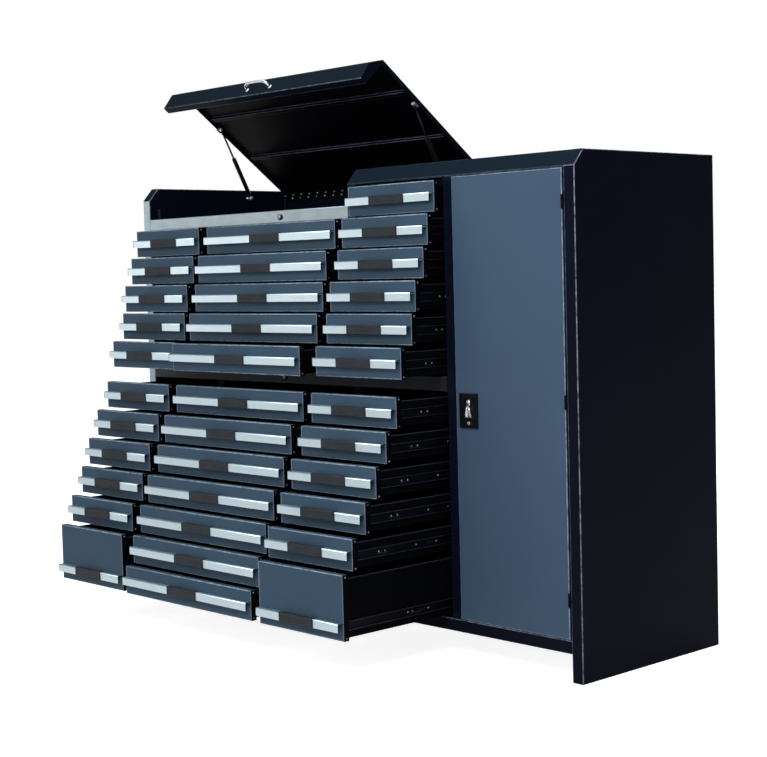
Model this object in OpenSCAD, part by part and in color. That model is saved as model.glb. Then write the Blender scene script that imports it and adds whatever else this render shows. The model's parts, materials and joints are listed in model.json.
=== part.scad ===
// Wide tool chest: three banks of drawers, a lidded top compartment and a side locker.
// The front plane of the closed drawers is the reference for every depth below.
// X runs along the front (locker at +X), Y runs to the back, Z is up, floor at Z = 0.

/* [Overall size] */
// overall width over the two end panels
chest_w = 2000; // [1800:10:2200]
// depth of the end panels
chest_d = 630; // [560:5:700]
// height of the fixed top above the floor
chest_h = 1458; // [1300:1:1600]
// height of the open space under the body
under_h = 80; // [60:1:140]
// thickness of each hollow end panel
end_t = 38; // [30:1:50]
// depth of the sloping front edge of the top
bevel_d = 39; // [20:1:60]
// drop of the sloping front edge of the top
bevel_h = 44; // [20:1:60]
// Y of the front plane, which centres the open chest on its origin
front_y = -96; // [-120:1:0]

/* [Drawer banks] */
// left edge of the left, middle and right fronts
bank_x0 = [-960, -558, 134]; // [-1000:1:600]
// right edge of the left, middle and right fronts
bank_x1 = [-597, 90, 503]; // [-1000:1:600]
// height of a small front
small_h = 90.5; // [70:0.5:110]
// height of a deep front
deep_h = 186; // [150:0.5:220]
// distance from one row to the next
row_pitch = 95.5; // [80:0.5:120]
// top edge of the first upper row beside the lid compartment
upper_top = 1305.5; // [1200:0.5:1400]
// top edge of the first lower row
lower_top = 784.5; // [700:0.5:900]
// depth of a drawer tray
tray_d = 540; // [450:5:560]

/* [Drawer openings] */
// how far each upper left drawer stands open, top to bottom
upper_left_open = [60, 87, 117, 131, 176]; // [0:1:500]
// how far each upper middle drawer stands open, top to bottom
upper_middle_open = [54, 94, 111, 138, 211]; // [0:1:500]
// how far each upper right drawer stands open, top to bottom
upper_right_open = [34, 64, 84, 119, 137, 183]; // [0:1:500]
// how far each lower left drawer stands open, top to bottom
lower_left_open = [206, 252, 291, 324, 368, 413]; // [0:1:500]
// how far each lower middle drawer stands open, top to bottom
lower_middle_open = [202, 253, 285, 328, 362, 394, 426]; // [0:1:500]
// how far each lower right drawer stands open, top to bottom
lower_right_open = [206, 249, 292, 336, 388, 428]; // [0:1:500]

/* [Pulls] */
// how far a pull stands out from its front
pull_d = 18; // [12:0.5:30]
// height of the front lip of a pull
pull_h = 24.5; // [15:0.5:35]
// length of the soft grip in the middle of a pull
grip_l = 147; // [80:1:200]

/* [Lid] */
// angle at which the lid stands open
lid_open = 37; // [0:1:60]
// left end of the lid
lid_x0 = -959; // [-1000:1:-900]
// right end of the lid
lid_x1 = 88; // [60:1:130]
// lower edge of the closed lid's front
lid_low_z = 1351; // [1340:1:1400]
// height of the lid hinge axis
hinge_z = 1436; // [1400:1:1450]

/* [Locker] */
// left edge of the locker door
door_x0 = 540; // [500:1:600]
// right edge of the locker door
door_x1 = 955; // [900:1:980]
// lower edge of the locker door
door_z0 = 119; // [100:1:160]
// upper edge of the locker door
door_z1 = 1409; // [1300:1:1450]

/* [Sheet metal] */
// thickness of the body sheet
sheet = 1.2; // [0.8:0.1:2]
// thickness of the tray sheet
tray_sheet = 1; // [0.8:0.1:1.5]

/* [Colours] */
// powder coat of the fronts and the door
front_colour = [0.26, 0.34, 0.42];
// powder coat of the body
body_colour = [0.05, 0.06, 0.09];
// coat of the rails that catch the light
rail_colour = [0.45, 0.50, 0.52];
// coat of the sloping edges
bevel_colour = [0.09, 0.16, 0.20];
// aluminium of the pulls
pull_colour = [0.86, 0.88, 0.90];
// soft grips
grip_colour = [0.16, 0.16, 0.17];
// bright metal of studs, locks and handles
bright_colour = [0.78, 0.79, 0.80];
// black parts
black_colour = [0.03, 0.03, 0.04];

/* [Hidden] */
// gap between the separate sheets of one piece
g = 0.2;
half_w = chest_w / 2;
inner_x = half_w - end_t;
bevel_z = chest_h - bevel_h;
// depth of the side returns of a front
ret = 20;
// outer face of a tray, measured from the edge of its front
tray_in = 10.2;
// slide: channel on the cabinet, member on the drawer
slide_t = 5.5;
slide_z = 24;
slide_h = 34;
member_t = 5.7;
member_h = 26;
// heights of the rails
top_rail_z = [1308, 1347];
mid_rail_z = [787, 830];
low_rail_z = [under_h, 117];
// back wall
back_in = 627;
// lid hinge
hinge_y = 623;
knuckle_r = 2.6;
pin_r = 1.25;
hinge_n = 13;
hinge_seg = (lid_x1 - lid_x0 - 4) / hinge_n;
// lid struts: pivot on the wall, stud on the closed lid, and the rest geometry
wall_stud = [448, 1428];
lid_stud = [234, 1445.5];
cyl_l = 166;
stud_dy = lid_stud[0] - hinge_y;
stud_dz = lid_stud[1] - hinge_z;
open_stud_y = hinge_y + stud_dy * cos(lid_open) + stud_dz * sin(lid_open);
open_stud_z = hinge_z - stud_dy * sin(lid_open) + stud_dz * cos(lid_open);
strut_dy = open_stud_y - wall_stud[0];
strut_dz = open_stud_z - wall_stud[1];
strut_len = sqrt(strut_dy * strut_dy + strut_dz * strut_dz);
strut_tilt = atan2(-strut_dy, strut_dz);
strut_x = [-945, 70];
// partitions between the banks: left and right outer faces
part_a = [-595, -560];
part_b = [92, 132];
part_c = [505, 538];
// locker latch
latch_x = 593;
latch_z = 735;
lock_z = 700;
door_hinge_x = 957.5;
door_hinge_y = -3.6;
door_hinge_z = [220, 764, 1308];
// side outline of the sloping sheet between the front and the top
bevel_strip = [
  [0.35, bevel_z + 0.4],
  [bevel_d - 0.35, chest_h - 0.4],
  [bevel_d + 0.55, chest_h - 1.2],
  [1.25, bevel_z - 0.4]
];
// node to draw: all, or one name of the list

// ---- helpers ----

// box between two corners, depths measured from the front plane
module slab(x, y, z) {
  translate([x[0], front_y + y[0], z[0]])
    cube([x[1] - x[0], y[1] - y[0], z[1] - z[0]]);
}

// plate along X from a side outline of [depth, height] points
module side_plate(x, pts) {
  translate([x[0], front_y, 0])
    rotate([90, 0, 90])
      linear_extrude(x[1] - x[0])
        polygon(pts);
}

// round bar along Y, from depth y0 to y1
module bar_y(x, z, r, y0, y1) {
  translate([x, front_y + y1, z])
    rotate([90, 0, 0])
      cylinder(h = y1 - y0, r = r, $fn = 40);
}

// round bar along X, from x0 to x1
module bar_x(y, z, r, x0, x1) {
  translate([x0, front_y + y, z])
    rotate([0, 90, 0])
      cylinder(h = x1 - x0, r = r, $fn = 40);
}

// a piece of the lid, drawn closed and turned open about the hinge
module open_lid() {
  translate([0, front_y + hinge_y, hinge_z])
    rotate([-lid_open, 0, 0])
      translate([0, -front_y - hinge_y, -hinge_z])
        children();
}

// ---- drawers ----

// folded front: face sheet and four returns
module drawer_front(w, h) {
  cube([w, sheet, h]);
  translate([0, sheet + g, 0])
    cube([sheet, ret - sheet - g, h]);
  translate([w - sheet, sheet + g, 0])
    cube([sheet, ret - sheet - g, h]);
  translate([sheet + g, sheet + g, 0])
    cube([w - 2 * (sheet + g), ret - sheet - g, sheet]);
  translate([sheet + g, sheet + g, h - sheet])
    cube([w - 2 * (sheet + g), ret - sheet - g, sheet]);
}

// aluminium pull: back flange, top plate and front lip
module drawer_pull(w, z) {
  translate([2, -1.6, z + 2])
    cube([w - 4, 1.4, pull_h - 2]);
  translate([2, -pull_d, z + pull_h - 2])
    cube([w - 4, pull_d - 1.8, 2]);
  translate([2, -pull_d, z])
    cube([w - 4, 2, pull_h - 2 - g]);
}

// soft grip: front pad and top pad
module drawer_grip(w, z) {
  translate([(w - grip_l) / 2, -pull_d - 2.4, z - 2])
    cube([grip_l, 2.2, pull_h + 4]);
  translate([(w - grip_l) / 2, -pull_d, z + pull_h + g])
    cube([grip_l, pull_d - 4, 1.8]);
}

// tray: bottom, two sides, inner front and back
module drawer_tray(w, h) {
  y0 = ret + g;
  y1 = ret + tray_d;
  z0 = 6;
  z1 = h - 12.5;
  t = tray_sheet;
  translate([tray_in, y0, z0])
    cube([t, y1 - y0, z1 - z0]);
  translate([w - tray_in - t, y0, z0])
    cube([t, y1 - y0, z1 - z0]);
  translate([tray_in + t + g, y0, z0])
    cube([w - 2 * (tray_in + t + g), y1 - y0, t]);
  translate([tray_in + t + g, y0, z0 + t + g])
    cube([w - 2 * (tray_in + t + g), t, z1 - z0 - t - g]);
  translate([tray_in + t + g, y1 - t, z0 + t + g])
    cube([w - 2 * (tray_in + t + g), t, z1 - z0 - t - g]);
}

// slide members on the two sides of the tray
module drawer_members(w) {
  z = slide_z + (slide_h - member_h) / 2;
  translate([tray_in - g - member_t, ret + 4, z])
    cube([member_t, tray_d - 24, member_h]);
  translate([w - tray_in + g, ret + 4, z])
    cube([member_t, tray_d - 24, member_h]);
}

// one drawer of a bank, with its top edge at top_z
module drawer(bank, top_z, h, open) {
  w = bank_x1[bank] - bank_x0[bank];
  pull_z = h > 120 ? 27 : 32;
  translate([bank_x0[bank], front_y - open, top_z - h]) {
    color(front_colour)
      drawer_front(w, h);
    color(pull_colour)
      drawer_pull(w, pull_z);
    color(grip_colour)
      drawer_grip(w, pull_z);
    color(body_colour)
      drawer_tray(w, h);
    color(black_colour)
      drawer_members(w);
  }
}

module upper_left_drawer_1() {
  drawer(0, upper_top, small_h, upper_left_open[0]);
}

module upper_left_drawer_2() {
  drawer(0, upper_top - 1 * row_pitch, small_h, upper_left_open[1]);
}

module upper_left_drawer_3() {
  drawer(0, upper_top - 2 * row_pitch, small_h, upper_left_open[2]);
}

module upper_left_drawer_4() {
  drawer(0, upper_top - 3 * row_pitch, small_h, upper_left_open[3]);
}

module upper_left_drawer_5() {
  drawer(0, upper_top - 4 * row_pitch, small_h, upper_left_open[4]);
}

module upper_middle_drawer_1() {
  drawer(1, upper_top, small_h, upper_middle_open[0]);
}

module upper_middle_drawer_2() {
  drawer(1, upper_top - 1 * row_pitch, small_h, upper_middle_open[1]);
}

module upper_middle_drawer_3() {
  drawer(1, upper_top - 2 * row_pitch, small_h, upper_middle_open[2]);
}

module upper_middle_drawer_4() {
  drawer(1, upper_top - 3 * row_pitch, small_h, upper_middle_open[3]);
}

module upper_middle_drawer_5() {
  drawer(1, upper_top - 4 * row_pitch, small_h, upper_middle_open[4]);
}

module upper_right_drawer_1() {
  drawer(2, upper_top + row_pitch, small_h, upper_right_open[0]);
}

module upper_right_drawer_2() {
  drawer(2, upper_top + row_pitch - 1 * row_pitch, small_h, upper_right_open[1]);
}

module upper_right_drawer_3() {
  drawer(2, upper_top + row_pitch - 2 * row_pitch, small_h, upper_right_open[2]);
}

module upper_right_drawer_4() {
  drawer(2, upper_top + row_pitch - 3 * row_pitch, small_h, upper_right_open[3]);
}

module upper_right_drawer_5() {
  drawer(2, upper_top + row_pitch - 4 * row_pitch, small_h, upper_right_open[4]);
}

module upper_right_drawer_6() {
  drawer(2, upper_top + row_pitch - 5 * row_pitch, small_h, upper_right_open[5]);
}

module lower_left_drawer_1() {
  drawer(0, lower_top, small_h, lower_left_open[0]);
}

module lower_left_drawer_2() {
  drawer(0, lower_top - 1 * row_pitch, small_h, lower_left_open[1]);
}

module lower_left_drawer_3() {
  drawer(0, lower_top - 2 * row_pitch, small_h, lower_left_open[2]);
}

module lower_left_drawer_4() {
  drawer(0, lower_top - 3 * row_pitch, small_h, lower_left_open[3]);
}

module lower_left_drawer_5() {
  drawer(0, lower_top - 4 * row_pitch, small_h, lower_left_open[4]);
}

module lower_left_drawer_6() {
  drawer(0, lower_top - 5 * row_pitch, deep_h, lower_left_open[5]);
}

module lower_middle_drawer_1() {
  drawer(1, lower_top, small_h, lower_middle_open[0]);
}

module lower_middle_drawer_2() {
  drawer(1, lower_top - 1 * row_pitch, small_h, lower_middle_open[1]);
}

module lower_middle_drawer_3() {
  drawer(1, lower_top - 2 * row_pitch, small_h, lower_middle_open[2]);
}

module lower_middle_drawer_4() {
  drawer(1, lower_top - 3 * row_pitch, small_h, lower_middle_open[3]);
}

module lower_middle_drawer_5() {
  drawer(1, lower_top - 4 * row_pitch, small_h, lower_middle_open[4]);
}

module lower_middle_drawer_6() {
  drawer(1, lower_top - 5 * row_pitch, small_h, lower_middle_open[5]);
}

module lower_middle_drawer_7() {
  drawer(1, lower_top - 6 * row_pitch, small_h, lower_middle_open[6]);
}

module lower_right_drawer_1() {
  drawer(2, lower_top, small_h, lower_right_open[0]);
}

module lower_right_drawer_2() {
  drawer(2, lower_top - 1 * row_pitch, small_h, lower_right_open[1]);
}

module lower_right_drawer_3() {
  drawer(2, lower_top - 2 * row_pitch, small_h, lower_right_open[2]);
}

module lower_right_drawer_4() {
  drawer(2, lower_top - 3 * row_pitch, small_h, lower_right_open[3]);
}

module lower_right_drawer_5() {
  drawer(2, lower_top - 4 * row_pitch, small_h, lower_right_open[4]);
}

module lower_right_drawer_6() {
  drawer(2, lower_top - 5 * row_pitch, deep_h, lower_right_open[5]);
}

// ---- body ----

// hollow end panel: outer and inner skins with edge strips between them; it stands on the floor
module end_panel(s) {
  outer = s > 0 ? [half_w - sheet, half_w] : [-half_w, -half_w + sheet];
  inner = s > 0 ? [inner_x, inner_x + sheet] : [-inner_x - sheet, -inner_x];
  mid = s > 0
    ? [inner_x + sheet + g, half_w - sheet - g]
    : [-half_w + sheet + g, -inner_x - sheet - g];
  outline = [
    [0, 0],
    [chest_d, 0],
    [chest_d, chest_h],
    [bevel_d, chest_h],
    [0, bevel_z]
  ];
  color(body_colour) {
    side_plate(outer, outline);
    side_plate(inner, outline);
    slab(mid, [bevel_d + 1, chest_d], [chest_h - sheet, chest_h]);
    slab(mid, [chest_d - sheet, chest_d], [sheet + g, chest_h - sheet - g]);
    slab(mid, [0, chest_d], [0, sheet]);
  }
  color(rail_colour)
    slab(mid, [0, sheet], [sheet + g, bevel_z - 1]);
  color(bevel_colour)
    side_plate(mid, bevel_strip);
}

module left_end_panel() {
  end_panel(-1);
}

module right_end_panel() {
  end_panel(1);
}

module rear_panel() {
  color(body_colour) {
    slab([-inner_x + g, part_b[0] - g], [back_in, back_in + sheet], [under_h, hinge_z - 4]);
    slab([part_b[0], inner_x - g], [back_in, back_in + sheet], [under_h, chest_h - sheet - g]);
  }
}

// bottom tray of the body with its front rail
module base_panel() {
  wide = [-inner_x + g, inner_x - g];
  color(body_colour) {
    slab(wide, [1.7, back_in - g], [under_h, under_h + 1.4]);
    slab(wide, [0, 1.5], low_rail_z);
    slab([-inner_x + g, part_a[0] - g], [1.7, 30], [low_rail_z[1] - 1.2, low_rail_z[1]]);
    slab([part_a[1] + g, part_b[0] - g], [1.7, 30], [low_rail_z[1] - 1.2, low_rail_z[1]]);
    slab([part_b[1] + g, part_c[0] - g], [1.7, 30], [low_rail_z[1] - 1.2, low_rail_z[1]]);
    slab([part_c[1] + g, inner_x - g], [1.7, 60], [low_rail_z[1] - 1.2, low_rail_z[1]]);
  }
}

// skin of the two tall partitions, cut to the slope of the top
module tall_skin(x) {
  side_plate(x, [
    [1.7, under_h + 2],
    [back_in - g, under_h + 2],
    [back_in - g, chest_h - sheet - g],
    [bevel_d + 2, chest_h - sheet - g],
    [1.7, bevel_z - 2.5]
  ]);
}

// three hollow partitions with their front stiles; the locker one has a slot for the bolt
module partitions() {
  color(body_colour) {
    slab([part_a[0], part_a[0] + sheet], [1.7, back_in - g], [under_h + 2, 1306]);
    slab([part_a[1] - sheet, part_a[1]], [1.7, back_in - g], [under_h + 2, 1306]);
    stile(part_a, [low_rail_z[1] + g, mid_rail_z[0] - g]);
    stile(part_a, [mid_rail_z[1] + g, 1306]);
    tall_skin([part_b[0], part_b[0] + sheet]);
    tall_skin([part_b[1] - sheet, part_b[1]]);
    stile(part_b, [low_rail_z[1] + g, mid_rail_z[0] - g]);
    stile(part_b, [mid_rail_z[1] + g, bevel_z - 4]);
    tall_skin([part_c[0], part_c[0] + sheet]);
    locker_skin([part_c[1] - sheet, part_c[1]]);
    stile(part_c, [low_rail_z[1] + g, bevel_z - 4]);
  }
}

// front stile between the two skins of a partition
module stile(p, z) {
  slab([p[0] + sheet + g, p[1] - sheet - g], [0, 1.5], z);
}

// skin on the locker side, in three parts around the bolt slot
module locker_skin(x) {
  slab(x, [1.7, back_in - g], [under_h + 2, latch_z - 23]);
  slab(x, [44, back_in - g], [latch_z - 22.8, latch_z + 33]);
  side_plate(x, [
    [1.7, latch_z + 33.2],
    [back_in - g, latch_z + 33.2],
    [back_in - g, chest_h - sheet - g],
    [bevel_d + 2, chest_h - sheet - g],
    [1.7, bevel_z - 2.5]
  ]);
}

// bright top rail under the lid and dull rail between the two rows of banks
module cross_rails() {
  lid_span = [-inner_x + g, part_b[0] - g];
  color(rail_colour) {
    slab(lid_span, [0, 1.5], top_rail_z);
    slab(lid_span, [1.7, 22], [top_rail_z[1] - sheet, top_rail_z[1]]);
  }
  color(body_colour) {
    slab([-inner_x + g, part_c[0] - g], [0, 1.5], mid_rail_z);
    mid_web([-inner_x + g, part_a[0] - g]);
    mid_web([part_a[1] + g, part_b[0] - g]);
    mid_web([part_b[1] + g, part_c[0] - g]);
  }
}

// upper and lower webs of the middle rail in one bank
module mid_web(x) {
  slab(x, [1.7, 40], [mid_rail_z[1] - sheet, mid_rail_z[1]]);
  slab(x, [1.7, 40], [mid_rail_z[0], mid_rail_z[0] + sheet]);
}

// fixed top over the right bank and the locker, with its sloping front edge
module fixed_top() {
  top_x = [part_b[0], inner_x - g];
  color(body_colour) {
    slab(top_x, [bevel_d + 1, chest_d - 0.5], [chest_h - sheet, chest_h]);
    slab(
      [part_b[1] + g, part_c[0] - g],
      [24, 26],
      [1393, chest_h - 30]
    );
    slab(
      [part_c[1] + g, inner_x - g],
      [24, 26],
      [door_z1 + 3, chest_h - 30]
    );
  }
  color(bevel_colour) {
    side_plate(top_x, bevel_strip);
    slab(top_x, [0, sheet], [bevel_z - 3.6, bevel_z - 0.2]);
  }
}

// floor of the lidded compartment
module compartment_floor() {
  color(body_colour)
    slab([-inner_x + g, part_b[0] - g], [1.7, back_in - g], [1306.2, 1307.4]);
}

// pair of slide channels for one drawer row of a bank
module channel_pair(bank, bottom_z) {
  xa = bank_x0[bank] - 2 + g;
  xb = bank_x1[bank] + 2 - g;
  slab([xa, xa + slide_t], [ret + 4, ret + tray_d], [bottom_z + slide_z, bottom_z + slide_z + slide_h]);
  slab([xb - slide_t, xb], [ret + 4, ret + tray_d], [bottom_z + slide_z, bottom_z + slide_z + slide_h]);
}

// slide channels on the cabinet side, one pair for each drawer
module slide_channels() {
  color(black_colour) {
    for (i = [0 : 4]) {
      channel_pair(0, upper_top - i * row_pitch - small_h);
      channel_pair(1, upper_top - i * row_pitch - small_h);
    }
    for (i = [-1 : 4])
      channel_pair(2, upper_top - i * row_pitch - small_h);
    for (i = [0 : 4]) {
      channel_pair(0, lower_top - i * row_pitch - small_h);
      channel_pair(2, lower_top - i * row_pitch - small_h);
    }
    channel_pair(0, lower_top - 5 * row_pitch - deep_h);
    channel_pair(2, lower_top - 5 * row_pitch - deep_h);
    for (i = [0 : 6])
      channel_pair(1, lower_top - i * row_pitch - small_h);
  }
}

// ---- lid ----

// lid shell: top sheet, slope, front, turned-in lip, back and side flanges, two stiffeners
module lid() {
  span = [lid_x0, lid_x1];
  under = chest_h - sheet - g;
  color(body_colour)
    open_lid() {
      slab(span, [bevel_d + 1, back_in + sheet], [chest_h - sheet, chest_h]);
      slab(span, [1.4, 27], [lid_low_z, lid_low_z + sheet]);
      slab([lid_x0 + 1.4, lid_x1 - 1.4], [back_in, back_in + sheet], [hinge_z + 2.2, under]);
      slab([lid_x0, lid_x0 + sheet], [bevel_d + 4, back_in + sheet], [under - 15, under]);
      slab([lid_x1 - sheet, lid_x1], [bevel_d + 4, back_in + sheet], [under - 15, under]);
      lid_cap([lid_x0, lid_x0 + sheet]);
      lid_cap([lid_x1 - sheet, lid_x1]);
      stiffener(hinge_y - 438);
      stiffener(hinge_y - 216);
    }
  color(bevel_colour)
    open_lid() {
      side_plate(span, bevel_strip);
      slab(span, [0, sheet], [lid_low_z, bevel_z - 0.4]);
    }
}

// end cap that closes the fold at one end of the lid's front
module lid_cap(x) {
  side_plate(x, [
    [1.4, lid_low_z + 1.4],
    [26, lid_low_z + 1.4],
    [bevel_d + 3.6, chest_h - 20],
    [bevel_d + 3.6, chest_h - 1.6],
    [bevel_d + 2, chest_h - 1.6],
    [1.4, bevel_z - 2]
  ]);
}

// hat-shaped stiffener under the lid at depth y
module stiffener(y) {
  x = [lid_x0 + 18, lid_x1 - 18];
  z = chest_h - sheet - g;
  slab(x, [y - 8, y + 8], [z - 12, z - 11]);
  slab(x, [y - 8, y - 7], [z - 10.8, z]);
  slab(x, [y + 7, y + 8], [z - 10.8, z]);
}

// arched handle in the middle of the lid's front
module lid_handle() {
  xc = (lid_x0 + lid_x1) / 2;
  z = lid_low_z + 25;
  color(bright_colour)
    open_lid() {
      for (s = [-1, 1])
        translate([xc + s * 58, front_y - 0.2, z])
          rotate([90, 0, 0])
            cylinder(h = 3, r = 8, $fn = 40);
      for (s = [-1, 1])
        hull() {
          translate([xc + s * 58, front_y - 3, z])
            rotate([90, 0, 0])
              cylinder(h = 1, r = 4.5, $fn = 32);
          translate([xc + s * 52, front_y - 30, z + 3])
            rotate([90, 0, 0])
              cylinder(h = 1, r = 4.5, $fn = 32);
        }
      translate([xc - 52, front_y - 31, z + 3])
        rotate([0, 90, 0])
          cylinder(h = 104, r = 4.5, $fn = 40);
    }
}

// moving leaf of the long hinge, with its knuckles
module lid_leaf() {
  slab(
    [lid_x0 + 2, lid_x1 - 2],
    [hinge_y + 2.3, hinge_y + 3.8],
    [hinge_z + 3, chest_h - 4]
  );
  for (i = [1 : 2 : hinge_n - 2]) {
    x0 = lid_x0 + 2 + i * hinge_seg + 0.3;
    x1 = x0 + hinge_seg - 0.6;
    difference() {
      union() {
        bar_x(hinge_y, hinge_z, knuckle_r, x0, x1);
        slab([x0, x1], [hinge_y + 0.6, hinge_y + 3.8], [hinge_z + 1.6, hinge_z + 4]);
      }
      bar_x(hinge_y, hinge_z, pin_r + 0.06, x0 - 1, x1 + 1);
    }
  }
}

// bracket and ball stud of one strut on the lid, in from the side s
module lid_stud_bracket(x, s) {
  xa = s < 0 ? [x - 12.6, x - 10.8] : [x + 14, x + 16];
  slab(xa, [lid_stud[0] - 12, lid_stud[0] + 12], [lid_stud[1] - 9, chest_h - sheet - g]);
  bar_x(
    lid_stud[0],
    lid_stud[1],
    3.5,
    s < 0 ? x - 10.9 : x + 8.6,
    s < 0 ? x - 8.6 : x + 14.1
  );
}

// pieces fixed to the lid: hinge leaf and the two strut studs
module lid_hardware() {
  color(black_colour)
    open_lid()
      lid_leaf();
  color(bright_colour)
    open_lid() {
      lid_stud_bracket(strut_x[0], -1);
      lid_stud_bracket(strut_x[1], 1);
    }
}

// fixed leaf of the long hinge with its pin, wall studs of the struts and the lid stop tab
module compartment_hardware() {
  color(black_colour) {
    slab(
      [lid_x0 + 2, lid_x1 - 2],
      [hinge_y + 2.3, hinge_y + 3.8],
      [hinge_z - 18, hinge_z - 3]
    );
    for (i = [0 : 2 : hinge_n - 1]) {
      x0 = lid_x0 + 2 + i * hinge_seg + 0.3;
      x1 = x0 + hinge_seg - 0.6;
      bar_x(hinge_y, hinge_z, knuckle_r, x0, x1);
      slab([x0, x1], [hinge_y + 0.6, hinge_y + 3.8], [hinge_z - 4, hinge_z - 1.6]);
    }
    bar_x(hinge_y, hinge_z, pin_r, lid_x0 + 3, lid_x1 - 3);
    slab([-inner_x + 0.1, -inner_x + 2.4], [36, 44], [1350, 1386]);
  }
  color(bright_colour) {
    bar_x(wall_stud[0], wall_stud[1], 9, -inner_x + 0.1, -inner_x + 2);
    bar_x(wall_stud[0], wall_stud[1], 3.5, -inner_x + 1.8, strut_x[0] - 8.8);
    bar_x(wall_stud[0], wall_stud[1], 9, part_b[0] - 2, part_b[0] - 0.1);
    bar_x(wall_stud[0], wall_stud[1], 3.5, strut_x[1] + 8.8, part_b[0] - 1.8);
  }
}

// ---- struts ----

// frame of one strut: Z along the strut from the wall stud to the lid stud
module along_strut(x) {
  translate([x, front_y + wall_stud[0], wall_stud[1]])
    rotate([strut_tilt, 0, 0])
      children();
}

// pressure cylinder with its end fitting and a bore for the rod
module strut_cylinder(x) {
  color(black_colour)
    along_strut(x) {
      difference() {
        translate([0, 0, 6])
          cylinder(h = cyl_l - 6, r = 8, $fn = 48);
        translate([0, 0, 16])
          cylinder(h = cyl_l - 26, r = 6.6, $fn = 48);
        translate([0, 0, 100])
          cylinder(h = cyl_l, r = 3.56, $fn = 40);
      }
      rotate([0, 90, 0])
        translate([0, 0, -7.5])
          cylinder(h = 15, r = 8, $fn = 40);
    }
}

// piston rod with its end fitting at the lid stud
module strut_rod(x) {
  color(bright_colour)
    along_strut(x) {
      translate([0, 0, cyl_l - 28])
        cylinder(h = strut_len - cyl_l + 22, r = 3.5, $fn = 40);
      translate([0, 0, strut_len])
        rotate([0, 90, 0])
          translate([0, 0, -7])
            cylinder(h = 14, r = 7, $fn = 40);
    }
}

module left_strut_cylinder() {
  strut_cylinder(strut_x[0]);
}

module left_strut_rod() {
  strut_rod(strut_x[0]);
}

module right_strut_cylinder() {
  strut_cylinder(strut_x[1]);
}

module right_strut_rod() {
  strut_rod(strut_x[1]);
}

// ---- locker ----

// folded door with a liner, the black latch housing and its hinge knuckles
module locker_door() {
  x = [door_x0, door_x1];
  z = [door_z0, door_z1];
  color(front_colour) {
    slab(x, [0, sheet], z);
    slab([x[0], x[0] + sheet], [1.4, ret], z);
    slab([x[1] - sheet, x[1]], [1.4, ret], z);
    slab([x[0] + 1.4, x[1] - 1.4], [1.4, ret], [z[0], z[0] + sheet]);
    slab([x[0] + 1.4, x[1] - 1.4], [1.4, ret], [z[1] - sheet, z[1]]);
    slab([x[0] + 1.4, x[1] - 1.4], [ret - sheet, ret], [z[0] + 1.4, z[1] - 1.4]);
  }
  color(black_colour) {
    slab([latch_x - 35, latch_x + 35], [-2, -0.2], [latch_z - 50, latch_z + 50]);
    slab([latch_x - 35, latch_x - 32], [-6, -2.2], [latch_z - 50, latch_z + 50]);
    slab([latch_x + 32, latch_x + 35], [-6, -2.2], [latch_z - 50, latch_z + 50]);
    slab([latch_x - 31.8, latch_x + 31.8], [-6, -2.2], [latch_z - 50, latch_z - 47]);
    slab([latch_x - 31.8, latch_x + 31.8], [-6, -2.2], [latch_z + 47, latch_z + 50]);
    for (hz = door_hinge_z)
      difference() {
        translate([door_hinge_x, front_y + door_hinge_y, hz + 10.3])
          cylinder(h = 19, r = 3, $fn = 40);
        translate([door_hinge_x, front_y + door_hinge_y, hz])
          cylinder(h = 60, r = 1.56, $fn = 32);
      }
    for (hz = door_hinge_z)
      slab([door_x1 - 18, door_x1 - 1], [-1.4, -0.2], [hz + 10.3, hz + 29.3]);
  }
}

// latch paddle that swings out from its top edge
module latch_paddle() {
  color(bright_colour) {
    slab([latch_x - 14, latch_x + 14], [-7, -3.4], [latch_z - 22, latch_z + 31]);
    bar_x(-5.2, latch_z + 31, 1.9, latch_x - 15.5, latch_x + 15.5);
  }
}

// round key lock that stands out from a face at depth y1
module key_lock(x, z, r, y0, y1) {
  color(bright_colour)
    difference() {
      bar_y(x, z, r, y0, y1);
      slab([x - 0.8, x + 0.8], [y0 - 1, y0 + 1.5], [z - r * 0.55, z + r * 0.55]);
    }
}

module door_lock() {
  key_lock(latch_x, lock_z - 2, 8, -6.5, -2.3);
}

module top_rail_lock() {
  key_lock(-235, 1326, 9, -5, -0.4);
}

module mid_rail_lock() {
  key_lock(-235, 807, 9, -5, -0.4);
}

// dead bolt behind the door, drawn back
module lock_bolt() {
  color(bright_colour)
    slab([543, 578], [ret + 0.4, ret + 3.4], [latch_z - 12, latch_z + 12]);
}

// fixed hinge parts of the door: jamb strip, knuckles and pins
module locker_hinges() {
  color(body_colour)
    slab([door_x1 + 2.4, inner_x - g], [0, 30], [door_z0 + 1, door_z1 - 1]);
  color(black_colour)
    for (hz = door_hinge_z) {
      translate([door_hinge_x, front_y + door_hinge_y, hz - 10])
        cylinder(h = 20, r = 3, $fn = 40);
      translate([door_hinge_x, front_y + door_hinge_y, hz + 9])
        cylinder(h = 20, r = 1.5, $fn = 32);
      slab([door_hinge_x, inner_x - 1], [-2.4, -0.3], [hz - 10, hz + 10]);
    }
}

// three shelves in the locker, each with a turned-down front edge
module locker_shelves() {
  color(body_colour)
    for (z = [440, 760, 1080]) {
      slab([part_c[1] + 0.4, inner_x - 0.4], [62, back_in - 1], [z, z + sheet]);
      slab([part_c[1] + 0.4, inner_x - 0.4], [60, 61.2], [z - 24, z + sheet]);
    }
}

// ---- assembly ----

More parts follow.
